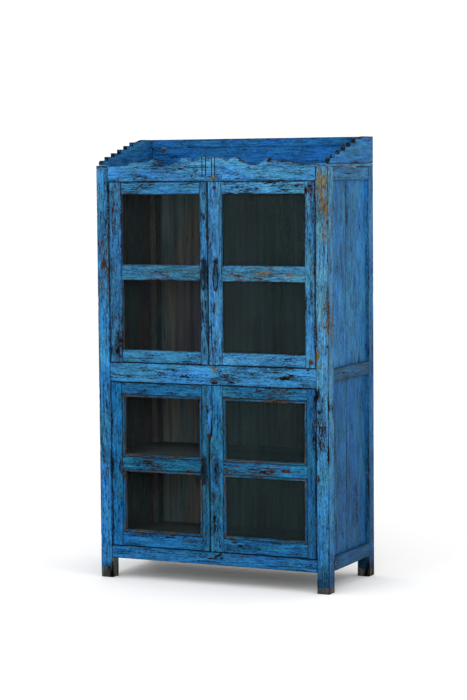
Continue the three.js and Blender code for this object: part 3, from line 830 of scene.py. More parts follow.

# The bottom rail's darker shade is partly painted shade, as light falls from above.
RAIL_LOOKS = {
    "top": {"shade": (48, 105, 150), "wear": 0.1, "places": [
        (-76, 1645, 5, 5, 1.0, BLACK), (-330, 1682, 30, 7, 0.5, DARK), (-210, 1660, 46, 7, 0.45, DARK),
        (-250, 1660, 190, 60, 0.22, GRIME_AND_SHADE), (-130, 1676, 26, 6, 0.6, BROWN),
        (-60, 1664, 20, 9, 0.6, DARK), (170, 1676, 18, 8, 0.7, BLACK), (262, 1706, 14, 9, 0.8, DARK),
        (330, 1698, 60, 5, 0.7, BROWN), (120, 1634, 16, 4, 0.8, BLACK), (40, 1655, 24, 16, 0.45, DARK),
        (-400, 1640, 30, 5, 0.4, BROWN), (240, 1640, 50, 4, 0.4, DARK),
    ]},
    "middle": {"shade": (46, 109, 157), "wear": 0.12, "places": [
        (-20, 840, 170, 30, 0.5, BLACK), (-110, 842, 34, 12, 0.8, BLACK),
        (-50, 832, 30, 16, 0.85, BLACK), (-20, 852, 36, 10, 0.8, BLACK), (10, 828, 24, 9, 0.8, DARK),
        (85, 824, 28, 5, 0.8, BLACK), (60, 846, 26, 5, 0.6, DARK), (320, 846, 40, 8, 0.75, BLACK),
        (352, 858, 24, 5, 0.7, DARK), (180, 862, 30, 4, 0.6, DARK), (240, 836, 36, 4, 0.5, DARK),
        (-300, 860, 60, 5, 0.5, DARK), (-380, 838, 40, 5, 0.5, DARK), (-210, 850, 50, 5, 0.5, DARK),
        (150, 880, 40, 4, 0.6, DARK), (430, 884, 20, 4, 0.7, BLACK),
    ]},
    "bottom": {"shade": (28, 90, 139), "wear": 0.04, "places": [
        (-56, 124, 12, 5, 0.9, DARK), (-40, 112, 26, 5, 0.75, DARK), (0, 108, 34, 4, 0.8, DARK),
        (40, 114, 10, 7, 0.8, BLACK), (138, 127, 46, 6, 0.85, RUSSET), (92, 124, 16, 6, 0.7, BROWN),
        (400, 114, 40, 3, 0.95, BLACK), (424, 104, 26, 9, 0.7, BLACK), (360, 118, 30, 4, 0.6, DARK),
        (-330, 112, 40, 4, 0.45, DARK), (250, 112, 60, 4, 0.4, DARK),
    ]},
}


def crest_height(s):
    return np.interp(np.abs(s), CREST[:, 0], CREST[:, 1])


def add_front_rails():
    for number, (name, looks) in enumerate(RAIL_LOOKS.items()):
        node = f"front_{name}_rail"
        low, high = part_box(node)
        corners = rectangle((low.y, high.y), (low.z, high.z))
        options = {}
        if name == "top":
            options = {"top": crest_height, "extra": CREST_CUSPS, "grooves": CREST_GROOVES, "rim": BROWN,
                       "top_wear": 0.6, "step": 3.5 * MM, "radius": 1.6 * MM}
        stick(node, "xyz", widened(-INNER_X, INNER_X), corners, 21 + number, nodes=[node], edges=0.45,
              **looks, **options)


# The side pieces are given darker shades lower down: painted shade, as light falls from above.
SIDE_SHADES = {
    "top_rail": (40, 89, 128), "middle_rail": (28, 69, 101), "bottom_rail": (18, 63, 98),
    "upper_panel": (38, 95, 141), "lower_panel": (24, 76, 119),
}
SIDE_PLACES = {
    "top_rail": [(0, 1650, 70, 4, 0.7, DARK), (60, 1660, 60, 3, 0.6, BROWN),
                 (-120, 1645, 30, 4, 0.6, BROWN)],
    "middle_rail": [(-60, 862, 60, 5, 0.5, DARK), (90, 870, 50, 4, 0.5, DARK)],
    "bottom_rail": [(-150, 110, 20, 12, 0.6, BROWN), (60, 130, 60, 3, 0.5, DARK)],
    "upper_panel": [(60, 1130, 5, 34, 0.6, DARK), (110, 1000, 6, 30, 0.5, BROWN),
                    (-40, 960, 8, 40, 0.45, DARK), (-120, 1340, 5, 60, 0.4, TAN),
                    (130, 1250, 5, 50, 0.45, BROWN)],
    "lower_panel": [(24, 668, 6, 18, 0.8, DARK), (44, 640, 7, 24, 0.85, DARK),
                    (20, 600, 5, 10, 0.7, BROWN), (150, 560, 6, 60, 0.6, DARK),
                    (-150, 640, 5, 60, 0.5, BROWN), (-20, 420, 5, 40, 0.4, DARK),
                    (90, 380, 5, 30, 0.5, DARK), (-90, 300, 6, 40, 0.4, BROWN)],
}
SEAM = -14 * MM


def add_sides():
    seed = 31
    for side_name in ("left", "right"):
        for part, shade in SIDE_SHADES.items():
            node = f"{side_name}_{part}"
            low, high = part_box(node)
            shared = {"slot": "side_paint", "material": "side", "nodes": [node], "shade": shade,
                      "plane": Y, "places": SIDE_PLACES[part]}
            if part.endswith("rail"):
                corners = rectangle((low.x, high.x), (low.z, high.z))
                stick(node, "yxz", widened(BEHIND_FRONT, BEFORE_BACK), corners, seed, edges=0.4, **shared)
            else:
                halves = (("front", (low.y, SEAM + 0.4 * MM)), ("rear", (SEAM - 0.4 * MM, high.y)))
                for place, y in halves:
                    corners = rectangle((low.x, high.x), y)
                    stick(f"{node}_{place}_board", "zxy", (low.z, high.z), corners, seed + 40, edges=0.4,
                          radius=BOARD_RADIUS, chips=0.5, **shared)
                    seed += 1
            seed += 1


def planks(name, node, axes, s, a, b_range, count, seed, **options):
    """Unpainted boards side by side that make up one flat member."""
    joints = np.linspace(*b_range, count + 1)
    joints[1:-1] += 6 * MM * noise(np.arange(1, count), seed, 0.3, 4)
    for i in range(count):
        b = (joints[i] - 0.5 * MM * (i > 0), joints[i + 1] + 0.5 * MM * (i < count - 1))
        corners = rectangle(a, b)
        stick(f"{name}_{i + 1}", axes, s, corners, seed + 3 * i, nodes=[node], radius=BOARD_RADIUS,
              **UNPAINTED, **options)


BACK_BOARDS = 4


def add_flat_boards():
    for number, node in enumerate(("bottom_board", "middle_board", "lower_shelf", "upper_shelf")):
        low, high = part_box(node)
        z = (low.z, high.z)
        narrow, wide = (0.5 * MM - INNER_X, INNER_X - 0.5 * MM), (low.x, high.x)
        seed = 60 + 10 * number
        planks(f"{node}_nosing", node, "xzy", narrow, z, (low.y, BEHIND_FRONT + OVERLAP), 1, seed)
        planks(f"{node}_plank", node, "xzy", wide, z, (BEHIND_FRONT, BEFORE_BACK), 2, seed + 3)
        planks(f"{node}_rear_strip", node, "xzy", narrow, z, (BEFORE_BACK - OVERLAP, high.y), 1, seed + 8)
    for number, node in enumerate(("lower_back_panel", "upper_back_panel")):
        low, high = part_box(node)
        planks(f"{node}_board", node, "zyx", (low.z, high.z), (low.y, high.y), (low.x, high.x),
               BACK_BOARDS, 110 + 20 * number, bare=before(low.y + 3 * MM))


SHELF_CLEAT_REACH = (46 * MM, 25.6 * MM)
SHELF_CLEAT_HEIGHT, FRONT_CLEAT_DEPTH, FRONT_CLEAT_HEIGHT = 22 * MM, 22 * MM, 26 * MM


def add_cleats():
    """The strips that carry the shelves at their ends, and the lowest board of each tier in front."""
    for number, node in enumerate(("lower_shelf", "upper_shelf")):
        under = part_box(node)[0].z
        for side, side_name in ((-1, "left"), (1, "right")):
            x = sorted(side * (SIDE_X - reach) for reach in SHELF_CLEAT_REACH)
            corners = rectangle(x, (under - SHELF_CLEAT_HEIGHT, under - 0.2 * MM))
            stick(f"{side_name}_{node}_cleat", "yxz", (BEHIND_FRONT + MM, BEFORE_BACK - MM), corners,
                  154 + 2 * number + side, **UNPAINTED)
    for number, (node, rail) in enumerate((("bottom_board", "bottom"), ("middle_board", "middle"))):
        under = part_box(node)[0].z
        front = span(f"front_{rail}_rail", Y)[1] + 0.4 * MM
        z = (under - FRONT_CLEAT_HEIGHT, under + 0.4 * MM)
        corners = rectangle((front, front + FRONT_CLEAT_DEPTH), z)
        stick(f"{node}_front_cleat", "xyz", (MM - INNER_X, INNER_X - MM), corners, 158 + number,
              **UNPAINTED)


def add_top():
    low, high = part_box("top_board")
    z = (low.z, high.z)
    shared = {"nodes": ["top_board"], "material": "side"}
    for side, side_name in ((-1, "left"), (1, "right")):
        x = sorted((side * (INNER_X + 0.2 * MM), side * SIDE_X))
        stick(f"top_board_{side_name}_end", "yzx", (low.y, high.y), rectangle(z, x), 160 + side,
              rim=BROWN, edges=0.75, shade=(52, 108, 152), plane=Y, **shared)
    front = span("front_top_rail", Y)[1] + 0.2 * MM
    middle = (front + high.y) / 2
    for part, y in (("front", (front, middle + 0.4 * MM)), ("rear", (middle - 0.4 * MM, high.y))):
        stick(f"top_board_{part}_plank", "xzy", widened(-INNER_X, INNER_X), rectangle(z, y),
              165 + (part == "rear"), shade=(40, 96, 146), wear=0.1, **shared)


# The gallery's ends, in millimetres from the middle of the case.
STEP_RISERS = [-167.5 + 54.5 * i for i in range(5)]
NOSE_HEIGHT, NOSE_RADIUS, STEP_RISE, SWEEP, FULL_HEIGHT = 1712, 14, 15.3, (85, 150), 1800


def gallery_height(s):
    """The upper edge of a gallery end: a rounded nose, steps, then a sweep up to the full height."""
    y = (s - MIDDLE) / MM
    nose = (span("gallery_left_end", Y)[0] - MIDDLE) / MM
    short = np.clip(NOSE_RADIUS - (y - nose), 0, NOSE_RADIUS)
    height = NOSE_HEIGHT - NOSE_RADIUS + np.sqrt(NOSE_RADIUS ** 2 - short ** 2)
    for riser in STEP_RISERS:
        height = height + STEP_RISE * smooth_step(riser, riser + 0.8, y)
    left_over = FULL_HEIGHT - NOSE_HEIGHT - STEP_RISE * len(STEP_RISERS)
    return (height + left_over * smooth_step(*SWEEP, y)) * MM


GALLERY_RIMS = {"left": srgb(14, 24, 30), "right": srgb(40, 38, 32)}


def add_gallery():
    nose = span("gallery_left_end", Y)[0]
    extra = [MIDDLE + (riser + k) * MM for riser in STEP_RISERS for k in (-2, -0.01, 0.4, 0.81, 3)]
    extra += [nose + k * MM for k in (0.3, 1, 2, 3.5, 5.5, 8, 11, 14)]
    places = [(0, 1688, 260, 5, 0.6, DARK), (140, 1735, 12, 8, 0.8, DARK),
              (110, 1706, 16, 6, 0.7, BROWN), (190, 1770, 5, 20, 0.5, DARK),
              (-60, 1740, 50, 8, 0.5, DARK), (-232, 1704, 22, 12, 0.8, GRIME_AND_SHADE)]
    for side, side_name in ((-1, "left"), (1, "right")):
        node = f"gallery_{side_name}_end"
        low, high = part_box(node)
        corners = rectangle((low.x, high.x), (low.z - MM, high.z))
        stick(node, "yxz", (low.y, high.y), corners, 171 + side, slot="side_paint", material="side",
              nodes=[node], top=gallery_height, extra=extra, plane=Y, edges=0.7, top_wear=0.95,
              rim=GALLERY_RIMS[side_name], radius=1.5 * MM, shade=(34, 95, 144), places=places)
    low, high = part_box("gallery_back")
    seam = 1765 * MM
    places = [(-436, 1762, 12, 16, 0.9, BROWN), (-300, 1790, 60, 3, 0.4, DARK),
              (60, 1742, 90, 4, 0.4, DARK)]
    for part, z in (("lower", (low.z - MM, seam + 0.5 * MM)), ("upper", (seam - 0.5 * MM, high.z))):
        stick(f"gallery_back_{part}_board", "xyz", (low.x, high.x), rectangle((low.y, high.y), z),
              175 + (part == "upper"), nodes=["gallery_back"], material="side", radius=BOARD_RADIUS,
              shade=(26, 88, 141), places=places)


# Doors: the openings for the panes, in millimetres, the paint, and the worn places.
PANE_ROWS = {"upper": ((944, 1227), (1291, 1573)), "lower": ((206, 443), (517, 750))}
PANE_SIDES = {"upper_left": (-397, -44), "upper_right": (53, 412),
              "lower_left": (-393, -55), "lower_right": (63, 405)}
MOULDING = {"upper": 0.0, "lower": 11 * MM}
LIP, REBATE, BACK_SKIN = 12 * MM, 7 * MM, 1.5 * MM
# The lower doors are given darker shades than the upper ones: painted shade, as light falls from above.
DOOR_LOOKS = {
    "upper_left": {
        "wear": 0.12, "hinge": (40, 89, 128), "meeting": (38, 88, 126),
        "bottom": (42, 101, 140), "middle": (38, 85, 114), "top": (42, 101, 143),
    },
    "upper_right": {
        "wear": 0.1, "hinge": (48, 103, 144), "meeting": (51, 104, 145),
        "bottom": (52, 112, 157), "middle": (49, 98, 130), "top": (54, 116, 160),
    },
    "lower_left": {
        "wear": 0.04, "hinge": (17, 82, 129), "meeting": (25, 74, 102),
        "bottom": (21, 86, 136), "middle": (19, 76, 112), "top": (21, 82, 121),
    },
    "lower_right": {
        "wear": 0.08, "hinge": (21, 74, 113), "meeting": (29, 87, 123),
        "bottom": (19, 74, 114), "middle": (22, 79, 118), "top": (29, 86, 120),
    },
}
# The darkening place centred on each pull is painted shadow of the pull, with soiling from hands.
DOOR_PLACES = {
    "upper_left": [
        (-220, 1259, 210, 26, 0.32, BROWN), (-434, 1500, 14, 120, 0.45, MAROON),
        (-434, 1230, 16, 90, 0.3, MAROON), (-434, 1540, 5, 12, 0.85, MAROON),
        (-436, 1512, 4, 14, 0.85, MAROON), (-426, 1470, 4, 20, 0.8, MAROON),
        (-420, 1500, 3, 10, 0.7, RUSSET), (-445, 1310, 5, 18, 0.8, RUSSET),
        (-444, 1275, 5, 12, 0.8, ORANGE), (-417, 1281, 5, 5, 0.8, RUSSET),
        (-445, 1194, 4, 10, 0.8, MAROON), (-446, 1160, 4, 12, 0.8, MAROON),
        (-440, 1600, 4, 10, 0.8, MAROON), (-422, 937, 9, 12, 0.9, BLACK), (-446, 940, 5, 22, 0.7, DARK),
        (-410, 915, 14, 5, 0.6, DARK), (-430, 1070, 4, 24, 0.6, MAROON), (-424, 1000, 3, 20, 0.5, DARK),
        (-24, 1575, 7, 20, 0.8, DARK), (-26, 1480, 8, 22, 0.95, DARK), (-28, 1462, 5, 12, 0.9, MAROON),
        (-22, 1132, 6, 20, 0.8, DARK), (-16, 1040, 4, 70, 0.7, DARK), (-30, 950, 6, 30, 0.6, MAROON),
        (-26, 1240, 14, 60, 0.5, BLACK), (-38, 1350, 4, 30, 0.5, DARK), (-13, 1400, 3, 60, 0.6, DARK),
        (-236, 1262, 46, 8, 0.52, ORANGE), (-200, 1250, 50, 6, 0.52, ORANGE),
        (-96, 1268, 36, 7, 0.5, OCHRE), (-120, 1246, 44, 7, 0.55, ORANGE), (-320, 1266, 40, 7, 0.5, TAN),
        (-350, 1246, 34, 5, 0.45, TAN), (-150, 1280, 40, 4, 0.5, BROWN), (-280, 1600, 20, 4, 0.5, DARK),
        (-150, 1590, 30, 4, 0.5, DARK), (-200, 930, 60, 4, 0.5, DARK), (-330, 920, 20, 5, 0.5, DARK),
        (-350, 1576, 40, 2, 0.8, BROWN), (-26, 1268, 18, 62, 0.85, GRIME_AND_SHADE),
        (-440, 1290, 16, 50, 0.35, GRIME_AND_SHADE), (-428, 940, 20, 34, 0.4, GRIME_AND_SHADE),
    ],
    "upper_right": [
        (230, 1259, 210, 26, 0.3, BROWN), (443, 1510, 13, 130, 0.55, MAROON),
        (440, 1250, 14, 110, 0.36, MAROON), (1, 1487, 4, 5, 0.9, MAROON), (3, 1372, 5, 12, 0.8, BROWN),
        (16, 1134, 7, 12, 0.9, MAROON), (17, 1110, 5, 20, 0.8, DARK), (4, 1020, 3, 60, 0.7, DARK),
        (20, 1600, 12, 8, 0.7, DARK), (12, 1545, 4, 20, 0.7, DARK), (28, 1240, 14, 60, 0.35, DARK),
        (10, 940, 5, 30, 0.6, DARK), (418, 1590, 7, 16, 0.9, MAROON), (447, 1580, 4, 20, 0.9, MAROON),
        (430, 1604, 14, 6, 0.7, MAROON), (440, 1516, 5, 22, 0.9, MAROON),
        (432, 1490, 6, 16, 0.85, MAROON), (446, 1462, 4, 30, 0.85, MAROON),
        (436, 1440, 8, 16, 0.8, MAROON), (435, 1394, 4, 14, 0.7, RUSSET),
        (452, 1265, 3, 16, 0.8, MAROON), (444, 1180, 3, 20, 0.6, MAROON), (436, 948, 3, 30, 0.7, DARK),
        (440, 915, 12, 12, 0.95, BROWN), (104, 1277, 24, 5, 0.7, BROWN),
        (120, 1246, 46, 6, 0.55, ORANGE), (220, 1262, 50, 6, 0.45, OCHRE),
        (230, 1240, 40, 5, 0.5, BROWN), (340, 1258, 46, 7, 0.42, TAN), (180, 1283, 60, 3, 0.55, BROWN),
        (370, 1245, 30, 4, 0.5, TAN), (340, 1590, 26, 5, 0.8, DARK), (380, 1606, 20, 5, 0.8, MAROON),
        (120, 1600, 40, 5, 0.6, DARK), (150, 1612, 30, 3, 0.6, BROWN), (230, 925, 60, 3, 0.4, DARK),
        (28, 1268, 17, 58, 0.6, GRIME_AND_SHADE),
    ],
    "lower_left": [
        (-230, 480, 190, 30, 0.2, DARK), (-30, 650, 18, 150, 0.3, DARK), (-30, 300, 18, 120, 0.26, DARK),
        (-452, 640, 4, 50, 0.7, BLACK), (-450, 470, 5, 34, 0.9, BLACK), (-452, 240, 4, 50, 0.7, BLACK),
        (-75, 800, 12, 9, 1.0, RUSSET), (-52, 800, 8, 8, 0.8, DARK), (-330, 802, 34, 5, 0.8, DARK),
        (-300, 796, 20, 4, 0.7, DARK), (-420, 806, 14, 3, 0.8, DARK), (-150, 804, 60, 3, 0.6, BROWN),
        (-350, 470, 30, 4, 0.6, DARK), (-130, 468, 34, 6, 0.9, DARK), (-100, 458, 30, 4, 0.8, BROWN),
        (-300, 490, 40, 3, 0.6, DARK), (-80, 490, 12, 5, 0.7, DARK), (-220, 478, 40, 4, 0.5, DARK),
        (-190, 184, 30, 3, 0.95, BLACK), (-120, 186, 44, 3, 0.9, DARK), (-100, 176, 30, 3, 0.8, BROWN),
        (-30, 470, 12, 50, 0.5, BLACK), (-40, 730, 4, 40, 0.8, BROWN), (-36, 660, 4, 50, 0.7, DARK),
        (-33, 420, 8, 20, 0.8, DARK), (-13, 520, 3, 40, 0.7, DARK), (-33, 475, 18, 52, 0.75, GRIME_AND_SHADE),
    ],
    "lower_right": [
        (230, 480, 190, 30, 0.12, BROWN), (230, 785, 190, 20, 0.2, DARK),
        (446, 600, 12, 220, 0.36, DARK), (450, 768, 5, 24, 0.9, BLACK), (446, 740, 5, 14, 0.8, MAROON),
        (448, 640, 4, 50, 0.6, BLACK), (445, 480, 5, 14, 0.9, RUSSET), (448, 450, 4, 20, 0.8, DARK),
        (442, 350, 4, 40, 0.6, BROWN), (207, 795, 22, 5, 0.9, BROWN), (180, 800, 40, 3, 0.7, DARK),
        (268, 774, 16, 4, 0.85, RUSSET), (311, 774, 18, 5, 0.9, RUSSET), (120, 780, 40, 4, 0.7, BROWN),
        (140, 772, 44, 3, 0.8, DARK), (350, 790, 20, 4, 0.6, DARK), (300, 800, 50, 3, 0.6, BROWN),
        (230, 472, 22, 6, 0.85, DARK), (270, 476, 26, 6, 0.9, BROWN), (330, 478, 34, 8, 1.0, RUSSET),
        (380, 482, 20, 5, 0.85, RUSSET), (120, 466, 24, 4, 0.7, BROWN), (180, 480, 30, 4, 0.6, DARK),
        (100, 490, 20, 4, 0.6, DARK), (100, 180, 20, 7, 0.95, BLACK), (126, 168, 20, 6, 0.95, BLACK),
        (150, 176, 16, 5, 0.9, DARK), (90, 190, 26, 4, 0.8, BROWN), (290, 176, 20, 4, 0.6, DARK),
        (370, 184, 20, 3, 0.5, DARK), (30, 745, 8, 14, 0.7, TAN), (18, 700, 3, 40, 0.6, DARK),
        (22, 460, 12, 50, 0.5, BLACK), (10, 250, 4, 60, 0.7, BLACK), (8, 370, 4, 50, 0.8, DARK),
        (50, 230, 3, 60, 0.5, BROWN), (21, 475, 16, 50, 0.62, GRIME_AND_SHADE),
    ],
}


def add_doors():
    for number, door in enumerate(PANE_SIDES):
        add_door(door, 200 + 20 * number)


def add_door(door, seed):
    tier, side = door.split("_")
    body = f"{door}_door"
    low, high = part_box(f"{door}_door_frame")
    more = MOULDING[tier]
    pane_x = [x * MM for x in PANE_SIDES[door]]
    x0, x1 = widened(*pane_x, more)
    (z0, z1), (z2, z3) = (widened(*(z * MM for z in row), more) for row in PANE_ROWS[tier])
    y = (low.y, high.y)
    looks = DOOR_LOOKS[door]
    shared = {"body": body, "slot": "door_paint", "material": "door", "nodes": [f"{door}_door_frame"],
              "places": DOOR_PLACES[door], "bare": behind(high.y - BACK_SKIN), "wear": looks["wear"]}
    rebate = 0 if more else REBATE
    names = ("hinge", "meeting") if side == "left" else ("meeting", "hinge")
    stiles = (rebated(y, (low.x, x0), 0, rebate), rebated(y, (x1, high.x), rebate, 0))
    for part, (name, corners) in enumerate(zip(names, stiles)):
        stick(f"{body}_{name}_stile", "zyx", (low.z, high.z), corners, seed + part, shade=looks[name],
              **shared)
    rails = {"bottom": ((low.z, z0), 0, rebate), "middle": ((z1, z2), rebate, rebate),
             "top": ((z3, high.z), rebate, 0)}
    rim = BROWN if tier == "upper" else DARK
    for part, (name, (z, lower, upper)) in enumerate(rails.items()):
        stick(f"{body}_{name}_rail", "xyz", widened(x0, x1), rebated(y, z, lower, upper), seed + 2 + part,
              rim=rim, shade=looks[name], **shared)
    for row, name in enumerate(("lower", "upper")):
        opening = (*pane_x, *(z * MM for z in PANE_ROWS[tier][row]))
        add_pane(door, name, opening, seed + 6 + row)
        if more:
            add_moulding(f"{body}_{name}_moulding", opening, more, (low.y, low.y + LIP), seed + 8 + row,
                         {**shared, "shade": looks["top"]})
        add_beads(f"{body}_{name}_bead", opening, more or REBATE, high.y, seed + 10 + row, body, door)


def behind(y):
    """Which points of a door are on its back."""
    def bare(points):
        return (points[:, Y] > y).astype(float)
    return bare


def before(y):
    """Which points of a back board face the inside."""
    def bare(points):
        return (points[:, Y] < y).astype(float)
    return bare


def rebated(a, b, lower, upper):
    """The section of a stick with a rebate behind its lip at each side that holds glass."""
    step = a[0] + LIP
    corners = [(a[0], b[0]), (a[0], b[1])]
    if upper:
        corners += [(step, b[1]), (step, b[1] - upper)]
    corners.append((a[1], b[1] - upper))
    corners.append((a[1], b[0] + lower))
    if lower:
        corners += [(step, b[0] + lower), (step, b[0])]
    return corners


def mitred(name, opening, width, section, seed, **options):
    """Four sticks round a pane, mitred at the corners. section gives the corners of one of them."""
    x0, x1, z0, z1 = opening
    sides = {"bottom": ("xyz", (x0, x1), z0, -1), "top": ("xyz", (x0, x1), z1, 1),
             "left": ("zyx", (z0, z1), x0, -1), "right": ("zyx", (z0, z1), x1, 1)}
    for part, (side, (axes, along, inner, outward)) in enumerate(sides.items()):
        start, end = (along[0] - width, along[1] + width) if outward < 0 else along
        stick(f"{name}_{side}", axes, (start, end), section(inner, outward), seed + 3 * part,
              mitre=outward, radius=0.8 * MM, chips=0.3, **options)


def add_moulding(name, opening, width, y, seed, shared):
    """The moulding in front of the glass: a flat, a hollow and a bead."""
    profile = [(3.6, 0.0), (2.0, 1.2), (2.4, 3.0), (4.0, 5.0), (3.0, 7.5), (0.8, 9.0), (0.6, 11.0)]

    def section(inner, outward):
        front = [(y[0] + depth * MM, inner + outward * along * MM) for depth, along in profile]
        corners = [*front, (y[1], inner + outward * width), (y[1], inner)]
        return corners if outward > 0 else corners[::-1]

    looks = {"edges": 0.95, "rim": TAN, "places": (), "wear": 0.06}
    mitred(name, opening, width, section, seed, **{**shared, **looks})


def add_beads(name, opening, width, back, seed, body, door):
    """The beads that hold the glass from behind."""
    glass_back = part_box(f"{door}_door_lower_glass")[1].y + 0.2 * MM

    def section(inner, outward):
        corners = [(glass_back, inner), (glass_back, inner + outward * (width - 0.3 * MM)),
                   (back - MM, inner + outward * (width - 0.3 * MM)), (back - 4 * MM, inner)]
        return corners if outward > 0 else corners[::-1]

    mitred(name, opening, width, section, seed, body=body, **UNPAINTED)


# Each pane's haze: painted reflection of the bright surroundings, dimming and greying the pane, strongest
# on the right-hand doors.
REFLECTION_HAZE = {"upper_left": 0.0, "upper_right": 0.6, "lower_left": 0.03, "lower_right": 0.56}


def add_pane(door, name, opening, seed):
    """A pane of old glass, whose faces are not quite flat."""
    node = f"{door}_door_{name}_glass"
    low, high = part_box(node)
    reach = 5 * MM
    x = np.linspace(max(low.x, opening[0] - reach), min(high.x, opening[1] + reach), 48)
    z = np.linspace(max(low.z, opening[2] - reach), min(high.z, opening[3] + reach), 40)
    grid_x, grid_z = np.meshgrid(x, z)
    ripple = 0.3 * MM * noise(grid_x / 0.11, grid_z / 0.16, seed, 7)
    front = np.stack([grid_x, low.y + 0.6 * MM + ripple, grid_z], axis=-1)
    rear = np.stack([grid_x, high.y - 0.6 * MM + ripple, grid_z], axis=-1)
    loops = [np.concatenate([front[i], rear[i][::-1]]) for i in range(len(z))]
    skin = loft(loops)
    points = skin[0]
    grain = np.stack([points[:, Z], points[:, X], points[:, Y]], axis=1) + seed
    # The haze goes in as the pane's wear attribute: painted reflection.
    made = add_mesh(node, skin, {"grain": grain, "wear": np.full(len(points), REFLECTION_HAZE[door])})
    finish_piece(made, f"{door}_door", "glass", "glass", [node])


def add_cover_strip():
    """The strip on the lower right door, over the gap where the lower doors meet, worn to a point."""
    x, z = (-21 * MM, 6 * MM), (590 * MM, span("lower_right_door_frame", Z)[1])

    def half_width(s):
        return 0.5 * (x[1] - x[0]) * np.clip(0.25 + (s - z[0]) / (30 * MM), 0, 1)

    places = [(-8, 598, 10, 16, 1.2, DARK), (-16, 700, 3, 60, 0.8, BLACK), (2, 640, 3, 40, 0.7, DARK)]
    corners = rectangle((FRONT - 3.2 * MM, FRONT + 0.1 * MM), x)
    stick("lower_right_door_cover_strip", "zyx", z, corners, 301, body="lower_right_door",
          slot="door_paint", material="door", nodes=["lower_right_door_frame"], shade=(36, 96, 148),
          radius=MM, places=places, wear=0.1, edges=0.6, narrowing=half_width, bare=behind(BACK))


# Hinges.
HINGE_RADIUS, KNUCKLES, KNUCKLE_GAP = 4 * MM, 5, 0.2 * MM
PIN_END, PIN_HEAD_RADIUS, PIN_RADIUS = 2 * MM, 3 * MM, 1.6 * MM


def add_hinges():
    for tier in ("upper", "lower"):
        for side, side_name in ((-1, "left"), (1, "right")):
            for place in ("upper", "lower"):
                add_hinge(f"{tier}_{side_name}_door", place, side)


def add_hinge(door, place, side):
    """A butt hinge as two pieces: the fixed leaf with its knuckles and the pin, and the moving leaf."""
    node = f"{door}_{place}_hinge"
    low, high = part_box(node)
    inner = min(abs(low.x), abs(high.x))
    x, y = side * (inner + HINGE_RADIUS), low.y + HINGE_RADIUS

    def upright(z0, z1, *shape):
        return rounded_rod((x, y, z0), (x, y, z1), *shape)

    joints = np.linspace(low.z + PIN_END, high.z - PIN_END, KNUCKLES + 1)
    knuckles = [upright(z0 + KNUCKLE_GAP, z1 - KNUCKLE_GAP, HINGE_RADIUS, 18, 0.7 * MM)
                for z0, z1 in zip(joints, joints[1:])]
    pin = [upright(z0, z1, PIN_HEAD_RADIUS, 16, 1.2 * MM)
           for z0, z1 in ((low.z, low.z + PIN_END + MM), (high.z - PIN_END - MM, high.z))]
    pin.append(upright(low.z + MM, high.z - MM, PIN_RADIUS, 12))
    leaf_y = (y + HINGE_RADIUS - MM, high.y)
    fixed = leaf((x, x + side * 1.2 * MM), leaf_y, (joints[0], joints[-1]))
    moving = leaf((x - side * 1.3 * MM, x - side * 0.2 * MM), leaf_y, (joints[0], joints[-1]))
    halves = (("fixed", "cabinet", together(*knuckles[::2], fixed, *pin)),
              ("moving", door, together(*knuckles[1::2], moving)))
    for number, (half, body, skin) in enumerate(halves):
        made = add_mesh(f"{node}_{half}_leaf", dented(skin, 0.12 * MM, 5 * MM, 61 + number))
        finish_piece(made, body, "iron", "blue_iron", [node])


def leaf(x, y, z):
    """A thin upright plate."""
    x, y = sorted(x), np.linspace(*y, 6)
    outline = [(x[0], v) for v in y] + [(x[1], v) for v in y[::-1]]
    return loft([[(u, v, h) for u, v in outline] for h in np.linspace(*z, 18)])


# Pulls: where each hangs, its length, and what it is made to look like.
PULLS = {
    "upper_left": (-26, 1308, 118, "iron"), "upper_right": (28, 1306, 118, "iron"),
    "lower_left": (-33, 512, 97, "iron"), "lower_right": (21, 511, 97, "blue_iron"),
}
PIVOT_Y = FRONT - 8.5 * MM
ROSE_WIDTH, ROSE_HEIGHT, CHEEK_PLACE, SCREW_PLACE = 9 * MM, 14 * MM, 6.7 * MM, 10.5 * MM
PULL_PIN_REACH, PULL_PIN_RADIUS, SMALL_SCREW_RADIUS = 7.6 * MM, 2 * MM, 1.9 * MM


def add_pulls():
    for number, (name, (x, z, length, material)) in enumerate(PULLS.items()):
        x, z, length = x * MM, z * MM, length * MM
        skins = [plate(ellipse(ROSE_WIDTH, ROSE_HEIGHT), FRONT - 2.2 * MM, FRONT - 0.1 * MM, (x, z))]
        head = ellipse(SMALL_SCREW_RADIUS, SMALL_SCREW_RADIUS, 16)
        for side in (-1, 1):
            skins.append(cheek(x + side * CHEEK_PLACE, z))
            screw = (x, z + side * SCREW_PLACE)
            skins.append(plate(head, FRONT - 3 * MM, FRONT - 2 * MM, screw, 0.4 * MM))
        pin = [(x + side * PULL_PIN_REACH, PIVOT_Y, z) for side in (-1, 1)]
        skins.append(rounded_rod(*pin, PULL_PIN_RADIUS, 16))
        skin = dented(together(*skins), 0.2 * MM, 6 * MM, 70 + number)
        cover = smooth_step(FRONT - 4 * MM, FRONT - 2.6 * MM, skin[0][:, Y])
        rose = add_mesh(f"{name}_pull_rose", skin, {"cover": cover})
        finish_piece(rose, f"{name}_door", "iron", material, [f"{name}_pull_rose"])
        skin = dented(together(eye(x, z), loop(x, z, length)), 0.25 * MM, 7 * MM, 80 + number)
        drop = add_mesh(f"{name}_pull_drop", skin)
        finish_piece(drop, f"{name}_pull", "iron", material, [f"{name}_pull_drop"])


def cheek(x, z):
    """An ear of a rose that holds one end of the pin."""
    angles = np.linspace(-math.pi / 2, math.pi / 2, 14)
    outline = [(PIVOT_Y - 3.8 * MM * math.cos(t), z + 3.8 * MM * math.sin(t)) for t in angles]
    outline += [(FRONT - 2 * MM, z + 4.6 * MM), (FRONT - 2 * MM, z - 4.6 * MM)]
    centre = np.mean(outline, axis=0)
    levels = ((-1.2, 0.85), (-0.9, 1), (0.9, 1), (1.2, 0.85))
    return loft([[(x + k * MM, *(centre + (np.array(p) - centre) * share)) for p in outline]
                 for k, share in levels])


